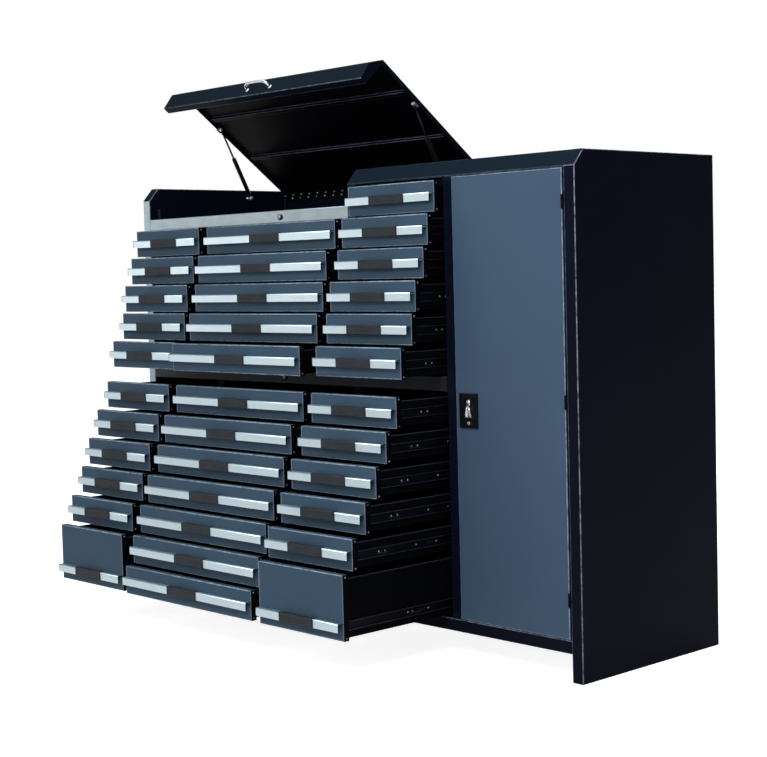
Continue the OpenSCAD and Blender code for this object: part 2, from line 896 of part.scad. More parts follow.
left_end_panel();
right_end_panel();
rear_panel();
base_panel();
partitions();
cross_rails();
fixed_top();
compartment_floor();
slide_channels();
lid();
lid_handle();
lid_hardware();
compartment_hardware();
left_strut_cylinder();
left_strut_rod();
right_strut_cylinder();
right_strut_rod();
locker_door();
latch_paddle();
door_lock();
top_rail_lock();
mid_rail_lock();
lock_bolt();
locker_hinges();
locker_shelves();
upper_left_drawer_1();
upper_left_drawer_2();
upper_left_drawer_3();
upper_left_drawer_4();
upper_left_drawer_5();
upper_middle_drawer_1();
upper_middle_drawer_2();
upper_middle_drawer_3();
upper_middle_drawer_4();
upper_middle_drawer_5();
upper_right_drawer_1();
upper_right_drawer_2();
upper_right_drawer_3();
upper_right_drawer_4();
upper_right_drawer_5();
upper_right_drawer_6();
lower_left_drawer_1();
lower_left_drawer_2();
lower_left_drawer_3();
lower_left_drawer_4();
lower_left_drawer_5();
lower_left_drawer_6();
lower_middle_drawer_1();
lower_middle_drawer_2();
lower_middle_drawer_3();
lower_middle_drawer_4();
lower_middle_drawer_5();
lower_middle_drawer_6();
lower_middle_drawer_7();
lower_right_drawer_1();
lower_right_drawer_2();
lower_right_drawer_3();
lower_right_drawer_4();
lower_right_drawer_5();
lower_right_drawer_6();
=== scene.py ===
"""Looks of a wide tool chest: three banks of drawers, a lidded compartment and a tall locker.

Every length below is in millimetres, with depths measured from the front plane of the closed drawers;
a mesh is scaled to metres when it is made into an object.
"""

import json
import logging
import math
from dataclasses import dataclass, field
from enum import Enum
from typing import Callable, Iterable, Sequence

import bmesh
import bpy
from mathutils import Matrix, Vector

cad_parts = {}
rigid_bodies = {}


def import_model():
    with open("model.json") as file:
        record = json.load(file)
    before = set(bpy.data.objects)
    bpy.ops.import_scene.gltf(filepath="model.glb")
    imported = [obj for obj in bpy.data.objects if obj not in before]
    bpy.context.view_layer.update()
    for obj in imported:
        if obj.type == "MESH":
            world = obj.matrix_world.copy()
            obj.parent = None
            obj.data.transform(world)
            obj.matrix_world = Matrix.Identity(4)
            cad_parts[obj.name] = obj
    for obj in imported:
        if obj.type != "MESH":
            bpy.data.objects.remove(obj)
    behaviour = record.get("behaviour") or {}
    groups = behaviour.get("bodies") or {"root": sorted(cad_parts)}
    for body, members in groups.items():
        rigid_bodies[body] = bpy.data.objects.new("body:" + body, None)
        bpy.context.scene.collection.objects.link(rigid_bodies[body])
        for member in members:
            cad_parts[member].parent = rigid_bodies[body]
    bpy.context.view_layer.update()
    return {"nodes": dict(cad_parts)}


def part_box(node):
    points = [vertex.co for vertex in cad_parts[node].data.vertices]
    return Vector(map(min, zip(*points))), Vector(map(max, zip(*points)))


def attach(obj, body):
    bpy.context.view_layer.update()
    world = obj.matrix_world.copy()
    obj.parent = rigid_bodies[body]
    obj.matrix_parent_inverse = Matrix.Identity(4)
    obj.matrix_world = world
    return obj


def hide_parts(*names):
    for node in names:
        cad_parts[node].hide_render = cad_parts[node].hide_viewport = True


LOG = logging.getLogger("tool_chest")
FRONT_Y = -96.0
MM = 0.001
FOLD = "fold"
SHARP_FOLD = 0.5

Colour = tuple[float, float, float]
Point = tuple[float, float]
Span = tuple[float, float]


class Axis(Enum):
    """The direction that a turned or drawn shape runs along."""

    X = 0
    Y = 1
    Z = 2


class Slot(Enum):
    """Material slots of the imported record."""

    FRONT = "front_blue"
    BODY = "body_black"
    RAIL = "rail_grey"
    SLIDE = "slide_steel"
    BRIGHT = "bright"


# ---- shared effects ----


def new_group(name: str, inputs: dict[str, float | Colour], outputs: Sequence[str]) -> bpy.types.NodeTree:
    """Makes an empty shader node group.

    Args:
        name: name of the group.
        inputs: socket names with their default values; a triple is a colour.
        outputs: names of the float outputs.

    Returns:
        The group, with its input node named "in" and its output node named "out".
    """
    tree = bpy.data.node_groups.new(name, "ShaderNodeTree")
    for socket_name, value in inputs.items():
        kind = "NodeSocketColor" if isinstance(value, tuple) else "NodeSocketFloat"
        socket = tree.interface.new_socket(socket_name, in_out="INPUT", socket_type=kind)
        socket.default_value = (*value, 1.0) if isinstance(value, tuple) else value
    for socket_name in outputs:
        tree.interface.new_socket(socket_name, in_out="OUTPUT", socket_type="NodeSocketFloat")
    tree.nodes.new("NodeGroupInput").name = "in"
    tree.nodes.new("NodeGroupOutput").name = "out"
    return tree


class Wiring:
    """Short ways to add and join shader nodes in one tree."""

    def __init__(self, tree: bpy.types.NodeTree) -> None:
        """Keeps the tree that the nodes go into."""
        self.tree = tree

    def node(self, kind: str, **values: object) -> bpy.types.Node:
        """Adds a node and sets its properties.

        Args:
            kind: node type.
            values: properties of the node.

        Returns:
            The new node.
        """
        made = self.tree.nodes.new(kind)
        for key, value in values.items():
            setattr(made, key, value)
        return made

    def feed(self, socket: bpy.types.NodeSocket, value: object) -> None:
        """Links an output to a socket, or sets the socket's own value.

        Args:
            socket: input to feed.
            value: an output socket, a number or a colour.
        """
        if isinstance(value, bpy.types.NodeSocket):
            self.tree.links.new(value, socket)
        elif isinstance(value, tuple) and len(value) == 3 and socket.type == "RGBA":
            socket.default_value = (*value, 1.0)
        else:
            socket.default_value = value

    def maths(
        self, operation: str, a: object, b: object = 0.0, clamp: bool = False,
    ) -> bpy.types.NodeSocket:
        """Adds a Math node.

        Args:
            operation: what it does.
            a: first value.
            b: second value.
            clamp: keep the result from 0 to 1.

        Returns:
            Its output.
        """
        made = self.node("ShaderNodeMath", operation=operation, use_clamp=clamp)
        self.feed(made.inputs[0], a)
        self.feed(made.inputs[1], b)
        return made.outputs[0]

    def noise(
        self, vector: object, scale: object, detail: float = 2.0, rough: float = 0.5,
    ) -> bpy.types.NodeSocket:
        """Adds a noise pattern.

        Args:
            vector: where it is read.
            scale: its scale.
            detail: how many octaves.
            rough: weight of the finer octaves.

        Returns:
            Its factor output.
        """
        made = self.node("ShaderNodeTexNoise")
        self.feed(made.inputs["Vector"], vector)
        self.feed(made.inputs["Scale"], scale)
        made.inputs["Detail"].default_value = detail
        made.inputs["Roughness"].default_value = rough
        return made.outputs["Fac"]

    def ramp(self, value: object, low: float, high: float) -> bpy.types.NodeSocket:
        """Stretches a value so that low becomes 0 and high becomes 1.

        Args:
            value: what is stretched.
            low: value that becomes 0.
            high: value that becomes 1.

        Returns:
            The stretched value, kept from 0 to 1.
        """
        made = self.node("ShaderNodeMapRange", clamp=True)
        self.feed(made.inputs["Value"], value)
        made.inputs["From Min"].default_value = low
        made.inputs["From Max"].default_value = high
        return made.outputs["Result"]

    def mix_colour(self, factor: object, a: object, b: object) -> bpy.types.NodeSocket:
        """Blends two colours.

        Args:
            factor: share of the second.
            a: first colour.
            b: second colour.

        Returns:
            The blended colour.
        """
        made = self.node("ShaderNodeMix", data_type="RGBA")
        self.feed(made.inputs[0], factor)
        self.feed(made.inputs[6], a)
        self.feed(made.inputs[7], b)
        return made.outputs[2]

    def mix_value(self, factor: object, a: object, b: object) -> bpy.types.NodeSocket:
        """Blends two numbers.

        Args:
            factor: share of the second.
            a: first number.
            b: second number.

        Returns:
            The blended number.
        """
        made = self.node("ShaderNodeMix", data_type="FLOAT")
        self.feed(made.inputs[0], factor)
        self.feed(made.inputs[2], a)
        self.feed(made.inputs[3], b)
        return made.outputs[0]


class Effects:
    """The shader groups that several finishes share, each built once."""

    def __init__(self) -> None:
        """Builds every group."""
        self.coat = self._coat()
        self.wear_and_highlight = self._fold_wear_and_highlight()
        self.drawn = self._drawn()
        self.handling = self._handling()

    @staticmethod
    def _coat() -> bpy.types.NodeTree:
        """Fine orange peel of baked powder, with a slow change of tone."""
        tree = new_group("powder_coat", {"Grain": 700.0, "Cloud": 2.2}, ("Height", "Tone"))
        w = Wiring(tree)
        place = w.node("ShaderNodeTexCoord").outputs["Object"]
        given = tree.nodes["in"].outputs
        peel = w.noise(place, given["Grain"], 2.0, 0.55)
        swell = w.noise(place, w.maths("MULTIPLY", given["Grain"], 0.12), 1.0, 0.4)
        height = w.maths("ADD", w.maths("MULTIPLY", peel, 0.6), w.maths("MULTIPLY", swell, 0.4))
        tone = w.ramp(w.noise(place, given["Cloud"], 3.0, 0.5), 0.3, 0.7)
        w.feed(tree.nodes["out"].inputs["Height"], height)
        w.feed(tree.nodes["out"].inputs["Tone"], tone)
        return tree

    @staticmethod
    def _fold_wear_and_highlight() -> bpy.types.NodeTree:
        """Thin, lighter paint along the folds, broken up so that no edge is even: partly wear, partly a
        painted highlight on the fold radii.
        """
        tree = new_group("fold_wear_and_painted_highlight", {"Amount": 0.5, "Break": 60.0}, ("Mask",))
        w = Wiring(tree)
        place = w.node("ShaderNodeTexCoord").outputs["Object"]
        given = tree.nodes["in"].outputs
        fold = w.node("ShaderNodeAttribute", attribute_name=FOLD).outputs["Fac"]
        broken = w.ramp(w.noise(place, given["Break"], 3.0, 0.6), 0.25, 0.6)
        mask = w.maths("MULTIPLY", w.maths("MULTIPLY", fold, broken), given["Amount"], clamp=True)
        w.feed(tree.nodes["out"].inputs["Mask"], mask)
        return tree

    @staticmethod
    def _drawn() -> bpy.types.NodeTree:
        """Long fine lines left by a drawing die, along X."""
        tree = new_group("drawn_lines", {"Fineness": 900.0}, ("Height", "Tone"))
        w = Wiring(tree)
        place = w.node("ShaderNodeTexCoord").outputs["Object"]
        turn = w.node("ShaderNodeMapping")
        turn.inputs["Scale"].default_value = (0.02, 1.0, 1.0)
        w.feed(turn.inputs["Vector"], place)
        given = tree.nodes["in"].outputs
        lines = w.noise(turn.outputs[0], given["Fineness"], 3.0, 0.6)
        w.feed(tree.nodes["out"].inputs["Height"], lines)
        w.feed(tree.nodes["out"].inputs["Tone"], w.ramp(lines, 0.3, 0.7))
        return tree

    @staticmethod
    def _handling() -> bpy.types.NodeTree:
        """Faint smears and dust specks from use."""
        tree = new_group("handling", {"Smear": 9.0, "Speck": 260.0}, ("Smears", "Specks"))
        w = Wiring(tree)
        place = w.node("ShaderNodeTexCoord").outputs["Object"]
        given = tree.nodes["in"].outputs
        smears = w.ramp(w.noise(place, given["Smear"], 5.0, 0.65), 0.42, 0.72)
        specks = w.ramp(w.noise(place, given["Speck"], 1.0, 0.5), 0.72, 0.8)
        w.feed(tree.nodes["out"].inputs["Smears"], smears)
        w.feed(tree.nodes["out"].inputs["Specks"], specks)
        return tree


# ---- finishes ----


@dataclass(frozen=True)
class Paint:
    """A baked powder coat."""

    name: str
    colour: Colour
    shade: Colour
    # colour on the folds: partly wear, partly a painted highlight
    worn_and_highlight: Colour
    roughness: float = 0.42
    specular: float = 0.35
    peel: float = 0.12
    grain: float = 700.0
    wear_and_highlight: float = 0.6

    def material(self, effects: Effects) -> bpy.types.Material:
        """Builds the material.

        Args:
            effects: the shared shader groups.

        Returns:
            The finished material.
        """
        made, w, shader = blank(self.name, self.specular, 0.0)
        coat = placed(w, effects.coat, Grain=self.grain)
        wear_and_highlight = placed(w, effects.wear_and_highlight, Amount=self.wear_and_highlight)
        hand = placed(w, effects.handling)
        tone = w.mix_colour(coat.outputs["Tone"], self.colour, self.shade)
        # the folds take the lighter fold colour: partly wear, partly a painted highlight along the edges
        w.feed(shader.inputs["Base Color"], w.mix_colour(wear_and_highlight.outputs["Mask"], tone, self.worn_and_highlight))
        rough = w.mix_value(hand.outputs["Smears"], self.roughness, self.roughness + 0.07)
        rough = w.mix_value(wear_and_highlight.outputs["Mask"], rough, self.roughness - 0.08)
        w.feed(shader.inputs["Roughness"], rough)
        bumped(w, shader, coat.outputs["Height"], self.peel, 0.0004)
        return made


@dataclass(frozen=True)
class Metal:
    """Bare or plated metal."""

    name: str
    colour: Colour
    shade: Colour
    roughness: float
    lines: float
    fineness: float = 900.0

    def material(self, effects: Effects) -> bpy.types.Material:
        """Builds the material.

        Args:
            effects: the shared shader groups.

        Returns:
            The finished material.
        """
        made, w, shader = blank(self.name, 0.5, 1.0)
        drawn = placed(w, effects.drawn, Fineness=self.fineness)
        hand = placed(w, effects.handling, Smear=30.0)
        w.feed(shader.inputs["Base Color"], w.mix_colour(drawn.outputs["Tone"], self.colour, self.shade))
        rough = w.mix_value(drawn.outputs["Tone"], self.roughness, self.roughness + 0.05)
        rough = w.mix_value(hand.outputs["Smears"], rough, self.roughness + 0.1)
        w.feed(shader.inputs["Roughness"], rough)
        bumped(w, shader, drawn.outputs["Height"], self.lines, 0.0002)
        return made


@dataclass(frozen=True)
class Moulded:
    """Moulded rubber or plastic."""

    name: str
    colour: Colour
    shade: Colour
    roughness: float
    specular: float
    grain: float
    peel: float

    def material(self, effects: Effects) -> bpy.types.Material:
        """Builds the material.

        Args:
            effects: the shared shader groups.

        Returns:
            The finished material.
        """
        made, w, shader = blank(self.name, self.specular, 0.0)
        coat = placed(w, effects.coat, Grain=self.grain, Cloud=25.0)
        hand = placed(w, effects.handling, Smear=45.0)
        worn_and_highlight = w.maths("MULTIPLY", hand.outputs["Smears"], 0.6)
        w.feed(shader.inputs["Base Color"], w.mix_colour(worn_and_highlight, self.colour, self.shade))
        w.feed(
            shader.inputs["Roughness"],
            w.mix_value(coat.outputs["Tone"], self.roughness, self.roughness + 0.1),
        )
        bumped(w, shader, coat.outputs["Height"], self.peel, 0.0004)
        return made


def blank(name: str, specular: float, metallic: float) -> tuple[bpy.types.Material, Wiring, bpy.types.Node]:
    """Makes a material with a bare Principled shader.

    Args:
        name: its name.
        specular: specular level, the same all over.
        metallic: 0 or 1.

    Returns:
        The material, its wiring and its shader.
    """
    made = bpy.data.materials.new(name)
    made.use_nodes = True
    made.node_tree.nodes.clear()
    w = Wiring(made.node_tree)
    shader = w.node("ShaderNodeBsdfPrincipled")
    out = w.node("ShaderNodeOutputMaterial")
    made.node_tree.links.new(shader.outputs[0], out.inputs[0])
    shader.inputs["Specular IOR Level"].default_value = specular
    shader.inputs["Metallic"].default_value = metallic
    return made, w, shader


def placed(w: Wiring, group: bpy.types.NodeTree, **values: float) -> bpy.types.Node:
    """Puts a shared group into a material.

    Args:
        w: the material's wiring.
        group: the shared group.
        values: this material's own values of its inputs.

    Returns:
        The group node.
    """
    made = w.node("ShaderNodeGroup", node_tree=group)
    for key, value in values.items():
        made.inputs[key].default_value = value
    return made


def bumped(
    w: Wiring, shader: bpy.types.Node, height: bpy.types.NodeSocket, strength: float, depth: float,
) -> None:
    """Feeds a height to the shader's normal.

    Args:
        w: the material's wiring.
        shader: the shader.
        height: height over the surface.
        strength: strength of the bump.
        depth: its depth in metres.
    """
    bump = w.node("ShaderNodeBump")
    bump.inputs["Strength"].default_value = strength
    bump.inputs["Distance"].default_value = depth
    w.feed(bump.inputs["Height"], height)
    w.feed(shader.inputs["Normal"], bump.outputs["Normal"])


class Finish(Enum):
    """Every finish of the chest."""

    # the third colour of each paint is its colour on the folds: partly wear, partly a painted highlight on
    # the fold radii
    SLATE = Paint(
        "slate_powder_coat", (0.037, 0.070, 0.109), (0.033, 0.064, 0.100), (0.26, 0.34, 0.43),
        roughness=0.42, specular=0.12, wear_and_highlight=0.95,
    )
    # a lighter, bluer copy of the slate coat for the door: painted light
    DOOR = Paint(
        "door_slate_coat_painted_lighter", (0.047, 0.081, 0.132), (0.042, 0.074, 0.122), (0.26, 0.34, 0.43),
        roughness=0.38, specular=0.14, wear_and_highlight=0.95,
    )
    # lighter slate for strips at the side edges of the drawer fronts: a painted highlight along the folded
    # edges
    SLATE_EDGE = Paint(
        "slate_painted_edge_highlight", (0.17, 0.21, 0.30), (0.13, 0.17, 0.25), (0.34, 0.40, 0.50), wear_and_highlight=0.8,
    )
    NAVY = Paint(
        "navy_body_coat", (0.0028, 0.0045, 0.0120), (0.0023, 0.0038, 0.0102), (0.26, 0.29, 0.38),
        roughness=0.36, specular=0.045, wear_and_highlight=0.8,
    )
    # a lighter, greener copy of the navy body coat on the faces that tilt toward the lights: painted light
    TEAL = Paint(
        "slope_coat_painted_light", (0.0036, 0.0110, 0.0200), (0.0030, 0.0098, 0.0178), (0.14, 0.19, 0.24),
        roughness=0.42, specular=0.03, wear_and_highlight=0.7,
    )
    RAIL = Metal("rail_steel", (0.37, 0.44, 0.47), (0.33, 0.40, 0.43), 0.30, 0.05)
    # a darkened copy of the rail steel for the rail between the banks: painted shade
    MID_RAIL = Metal("mid_rail_steel_painted_shade", (0.050, 0.053, 0.058), (0.042, 0.045, 0.050), 0.42, 0.05)
    TRAY = Paint(
        "tray_coat", (0.0020, 0.0021, 0.0034), (0.0016, 0.0017, 0.0028), (0.045, 0.045, 0.065),
        roughness=0.42, specular=0.04, peel=0.08, wear_and_highlight=0.8,
    )
    # a lighter copy of the black tray coat: a painted highlight on the trays' rolled upper edges and on a
    # strip in the compartment's rear corner
    TRAY_EDGE = Paint(
        "tray_edge_painted_highlight", (0.026, 0.026, 0.040), (0.018, 0.018, 0.028), (0.09, 0.09, 0.12),
        roughness=0.38, specular=0.2, wear_and_highlight=0.9,
    )
    UNDERLID = Paint(
        "lid_underside_coat", (0.0012, 0.0013, 0.0028), (0.0010, 0.0011, 0.0024), (0.04, 0.04, 0.07),
        roughness=0.45, specular=0.05, peel=0.08, wear_and_highlight=0.5,
    )
    # a copy of the lid's underside coat with light folds: a painted highlight along the stiffeners' edges
    STIFFENER = Paint(
        "stiffener_coat_painted_highlight", (0.0018, 0.0018, 0.0038), (0.0014, 0.0014, 0.0028), (0.10, 0.09, 0.14),
        roughness=0.38, specular=0.05, peel=0.08, wear_and_highlight=0.9,
    )
    PULL = Metal("drawn_aluminium", (0.75, 0.89, 0.95), (0.69, 0.83, 0.90), 0.34, 0.10)
    CHROME = Metal("chrome_plate", (0.86, 0.87, 0.89), (0.80, 0.81, 0.84), 0.14, 0.02, 400.0)
    POLISHED = Metal("polished_lever", (0.90, 0.90, 0.95), (0.84, 0.84, 0.89), 0.24, 0.03, 400.0)
    NICKEL = Metal("satin_nickel", (0.88, 0.88, 0.90), (0.80, 0.80, 0.83), 0.42, 0.04, 500.0)
    ZINC = Metal("bright_zinc", (0.62, 0.63, 0.66), (0.50, 0.51, 0.55), 0.34, 0.06, 500.0)
    RED_ZINC = Metal("copper_zinc", (0.32, 0.20, 0.17), (0.24, 0.14, 0.12), 0.35, 0.06, 500.0)
    SLIDE = Metal("black_slide_steel", (0.020, 0.020, 0.028), (0.013, 0.013, 0.018), 0.38, 0.10, 700.0)
    # a lighter copy of the black slide steel: a painted highlight along the slide member's lips, also used
    # on the clips
    SLIDE_LIP = Metal("slide_steel_painted_highlight", (0.115, 0.110, 0.135), (0.060, 0.058, 0.075), 0.40, 0.10, 60.0)
    ROD = Metal("dark_rod_steel", (0.016, 0.016, 0.018), (0.011, 0.011, 0.013), 0.30, 0.03, 700.0)
    GRIP = Moulded("ribbed_rubber", (0.014, 0.019, 0.024), (0.026, 0.033, 0.038), 0.42, 0.26, 1500.0, 0.25)
    BLACK = Moulded(
        "black_moulding", (0.0025, 0.0025, 0.0032), (0.007, 0.007, 0.009), 0.36, 0.25, 900.0, 0.15,
    )
    # a near-black strip for the keyway: painted shade in place of the recess
    SLOT = Moulded("key_slot_painted_shade", (0.002, 0.002, 0.002), (0.004, 0.004, 0.004), 0.7, 0.1, 900.0, 0.1)


class Palette:
    """The materials, made once each."""

    def __init__(self) -> None:
        """Builds the shared groups; materials follow when they are first asked for."""
        self.effects = Effects()
        self.made: dict[Finish, bpy.types.Material] = {}

    def get(self, finish: Finish) -> bpy.types.Material:
        """Returns the material of a finish, building it the first time."""
        if finish not in self.made:
            self.made[finish] = finish.value.material(self.effects)
        return self.made[finish]

    def dress(self, node: str, finish: Finish) -> None:
        """Gives a CAD node a finish, in each of its material slots.

        Args:
            node: name of the node.
            finish: its finish.
        """
        shown = bpy.data.objects[node]
        if not shown.material_slots:
            shown.data.materials.append(None)
        for place in shown.material_slots:
            place.link = "OBJECT"
            place.material = self.get(finish)


# ---- shapes ----


class Shape:
    """One piece's mesh, put together from folded, turned and drawn parts, in millimetres."""

    def __init__(self) -> None:
        """Starts an empty mesh with a face layer that marks the folds."""
        self.mesh = bmesh.new()
        self.fold = self.mesh.faces.layers.float.new(FOLD)
        self.finishes: list[Finish] = []

    def _index(self, finish: Finish) -> int:
        """Returns the material index of a finish, adding it the first time."""
        if finish not in self.finishes:
            self.finishes.append(finish)
        return self.finishes.index(finish)

    def _round(self, faces: list[bmesh.types.BMFace], radius: float, steps: int) -> None:
        """Rounds every sharp edge of some faces and marks the roundings as folds.

        Args:
            faces: the closed part's faces.
            radius: radius of the rounding; 0 leaves the edges.
            steps: segments of the rounding.
        """
        if radius <= 0:
            return
        for face in faces:
            face.normal_update()
        around = dict.fromkeys(e for f in faces for e in f.edges)
        edges = [e for e in around if len(e.link_faces) == 2 and e.calc_face_angle(0) > SHARP_FOLD]
        index = faces[0].material_index
        done = bmesh.ops.bevel(
            self.mesh, geom=edges, offset=radius, offset_type="OFFSET",
            segments=steps, profile=0.5, affect="EDGES", clamp_overlap=True,
        )
        for face in done["faces"]:
            face[self.fold] = 1.0
            face.smooth = True
            face.material_index = index

    def prism(
        self, outline: Sequence[Point], x: Span, finish: Finish, radius: float = 0.0, steps: int = 1
    ) -> None:
        """Adds a plate along X from a side outline.

        Args:
            outline: depth and height of each corner, in order.
            x: its two ends.
            finish: its finish.
            radius: rounding of its edges.
            steps: segments of the rounding.
        """
        area = sum(a[0] * b[1] - b[0] * a[1] for a, b in zip(outline, [*outline[1:], outline[0]]))
        points = list(outline) if area > 0 else list(reversed(outline))
        near = [self.mesh.verts.new((x[0], FRONT_Y + p[0], p[1])) for p in points]
        far = [self.mesh.verts.new((x[1], FRONT_Y + p[0], p[1])) for p in points]
        index = self._index(finish)
        faces = [self.mesh.faces.new(list(reversed(near))), self.mesh.faces.new(far)]
        for i, a in enumerate(near):
            j = (i + 1) % len(near)
            faces.append(self.mesh.faces.new((a, near[j], far[j], far[i])))
        for face in faces:
            face.material_index = index
        self._round(faces, radius, steps)

    def slab(self, x: Span, y: Span, z: Span, finish: Finish, radius: float = 0.0, steps: int = 1) -> None:
        """Adds a box between two corners.

        Args:
            x: its two ends.
            y: its front and back depth.
            z: its bottom and top.
            finish: its finish.
            radius: rounding of its edges.
            steps: segments of the rounding.
        """
        self.prism([(y[0], z[0]), (y[1], z[0]), (y[1], z[1]), (y[0], z[1])], x, finish, radius, steps)

    def folded(
        self, path: Sequence[Point], thick: float, x: Span, finish: Finish,
        bend: float = 2.0, steps: int = 3,
    ) -> None:
        """Adds a sheet folded along a side path, with rounded bends.

        Args:
            path: depth and height of the outer face at each bend, with the sheet on its right.
            thick: thickness of the sheet.
            x: its two ends.
            finish: its finish.
            bend: outer radius of the bends.
            steps: segments of each bend.
        """
        outer, marks = rounded_path(path, bend, steps)
        inner = offset_path(outer, thick)
        rows = [
            [self.mesh.verts.new((xx, FRONT_Y + p[0], p[1])) for p in line]
            for line in (outer, inner)
            for xx in x
        ]
        (o0, o1, i0, i1) = rows
        index = self._index(finish)
        last = len(outer) - 1
        quads: list[tuple[list[bmesh.types.BMVert], bool]] = []
        for k in range(last):
            quads.append(([o0[k], o0[k + 1], o1[k + 1], o1[k]], marks[k]))
            quads.append(([i1[k], i1[k + 1], i0[k + 1], i0[k]], marks[k]))
            quads.append(([i0[k], i0[k + 1], o0[k + 1], o0[k]], False))
            quads.append(([o1[k], o1[k + 1], i1[k + 1], i1[k]], False))
        quads.append(([o0[0], o1[0], i1[0], i0[0]], False))
        quads.append(([o1[last], o0[last], i0[last], i1[last]], False))
        faces = []
        for corners, mark in quads:
            face = self.mesh.faces.new(corners)
            face.material_index = index
            face[self.fold] = 1.0 if mark else 0.0
            face.smooth = mark
            faces.append(face)
        bmesh.ops.recalc_face_normals(self.mesh, faces=faces)

    def turned(
        self, profile: Sequence[Point], centre: Vector, axis: Axis, finish: Finish, sides: int = 20
    ) -> None:
        """Adds a shape turned on a lathe.

        Args:
            profile: radius and distance along the axis, from one pole to the other.
            centre: where distance 0 lies, as x, depth and z.
            axis: the turning axis.
            finish: its finish.
            sides: sides of the round.
        """
        index = self._index(finish)
        rings: list[list[bmesh.types.BMVert]] = []
        for radius, along in profile:
            count = sides if radius > 1e-6 else 1
            ring = []
            for k in range(count):
                a = 2 * math.pi * k / sides
                u, v = radius * math.cos(a), radius * math.sin(a)
                local = {Axis.X: (along, u, v), Axis.Y: (v, along, u), Axis.Z: (u, v, along)}[axis]
                ring.append(
                    self.mesh.verts.new(
                        (centre[0] + local[0], FRONT_Y + centre[1] + local[1], centre[2] + local[2])
                    )
                )
            rings.append(ring)
        faces = []
        for near, far in zip(rings, rings[1:]):
            for k in range(sides):
                j = (k + 1) % sides
                ring = [near[k % len(near)], near[j % len(near)], far[j % len(far)], far[k % len(far)]]
                corners = list(dict.fromkeys(ring))
                if len(corners) > 2:
                    faces.append(self.mesh.faces.new(corners))
        for ring in (rings[0], rings[-1]):
            if len(ring) > 1:
                faces.append(self.mesh.faces.new(ring))
        for face in faces:
            face.material_index = index
            face.smooth = len(face.verts) <= 4
        bmesh.ops.recalc_face_normals(self.mesh, faces=faces)

    def tube(
        self, path: Sequence[Vector], radius: float, finish: Finish, sides: int = 12,
        flat: float = 1.0,
    ) -> None:
        """Adds a bar swept along a path.

        Args:
            path: points of its middle line, as x, depth and z.
            radius: its radius.
            finish: its finish.
            sides: sides of the round.
            flat: height of the section against its width.
        """
        index = self._index(finish)
        rings = []
        for k, point in enumerate(path):
            ahead = path[min(k + 1, len(path) - 1)] - path[max(k - 1, 0)]
            ahead.normalize()
            side = ahead.cross(Vector((0, 0, 1)))
            if side.length < 1e-4:
                side = ahead.cross(Vector((0, 1, 0)))
            side.normalize()
            up = side.cross(ahead).normalized()
            ring = []
            for s in range(sides):
                a = 2 * math.pi * s / sides
                spot = point + side * (radius * math.cos(a)) + up * (radius * flat * math.sin(a))
                ring.append(self.mesh.verts.new((spot.x, FRONT_Y + spot.y, spot.z)))
            rings.append(ring)
        faces = [self.mesh.faces.new(rings[0]), self.mesh.faces.new(list(reversed(rings[-1])))]
        for near, far in zip(rings, rings[1:]):
            for s in range(sides):
                t = (s + 1) % sides
                faces.append(self.mesh.faces.new((near[s], near[t], far[t], far[s])))
        for face in faces:
            face.material_index = index
            face.smooth = len(face.verts) == 4
        bmesh.ops.recalc_face_normals(self.mesh, faces=faces)

    def absorb(self, grown: bpy.types.Mesh, finish: Finish, place: Vector) -> None:
        """Adds a mesh that a node tree has grown.

        Args:
            grown: the grown mesh, in millimetres round its own origin.
            finish: its finish.
            place: where its origin goes, as x, depth and z.
        """
        index = self._index(finish)
        before = len(self.mesh.verts)
        first = len(self.mesh.faces)
        self.mesh.from_mesh(grown)
        self.mesh.verts.ensure_lookup_table()
        self.mesh.faces.ensure_lookup_table()
        shift = Vector((place[0], FRONT_Y + place[1], place[2]))
        for vert in self.mesh.verts[before:]:
            vert.co += shift
        for face in self.mesh.faces[first:]:
            face.material_index = index

    def turn_about(self, depth: float, height: float, degrees: float) -> None:
        """Turns everything so far about an axis along X.

        Args:
            depth: depth of the axis.
            height: height of the axis.
            degrees: angle of the turn.
        """
        middle = Vector((0, FRONT_Y + depth, height))
        turn = Matrix.Translation(middle) @ Matrix.Rotation(
            math.radians(degrees), 4, "X",
        ) @ Matrix.Translation(-middle)
        bmesh.ops.transform(self.mesh, matrix=turn, verts=self.mesh.verts)

    def piece(
        self, name: str, body: str, slot: Slot, palette: Palette, nodes: Iterable[str] = (),
    ) -> bpy.types.Object:
        """Makes the object, lets it ride and reports it.

        Args:
            name: its name.
            body: CAD body that it moves with.
            slot: material slot of the record; not used.
            palette: the materials.
            nodes: CAD nodes that it stands for.

        Returns:
            The finished object.
        """
        bmesh.ops.scale(self.mesh, vec=(MM, MM, MM), verts=self.mesh.verts)
        data = bpy.data.meshes.new(name)
        self.mesh.to_mesh(data)
        self.mesh.free()
        for finish in self.finishes:
            data.materials.append(palette.get(finish))
        made = bpy.data.objects.new(name, data)
        bpy.context.scene.collection.objects.link(made)
        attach(made, body)
        if nodes:
            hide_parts(*nodes)
        LOG.info("%s rides on %s: %d faces", name, body, len(data.polygons))
        return made


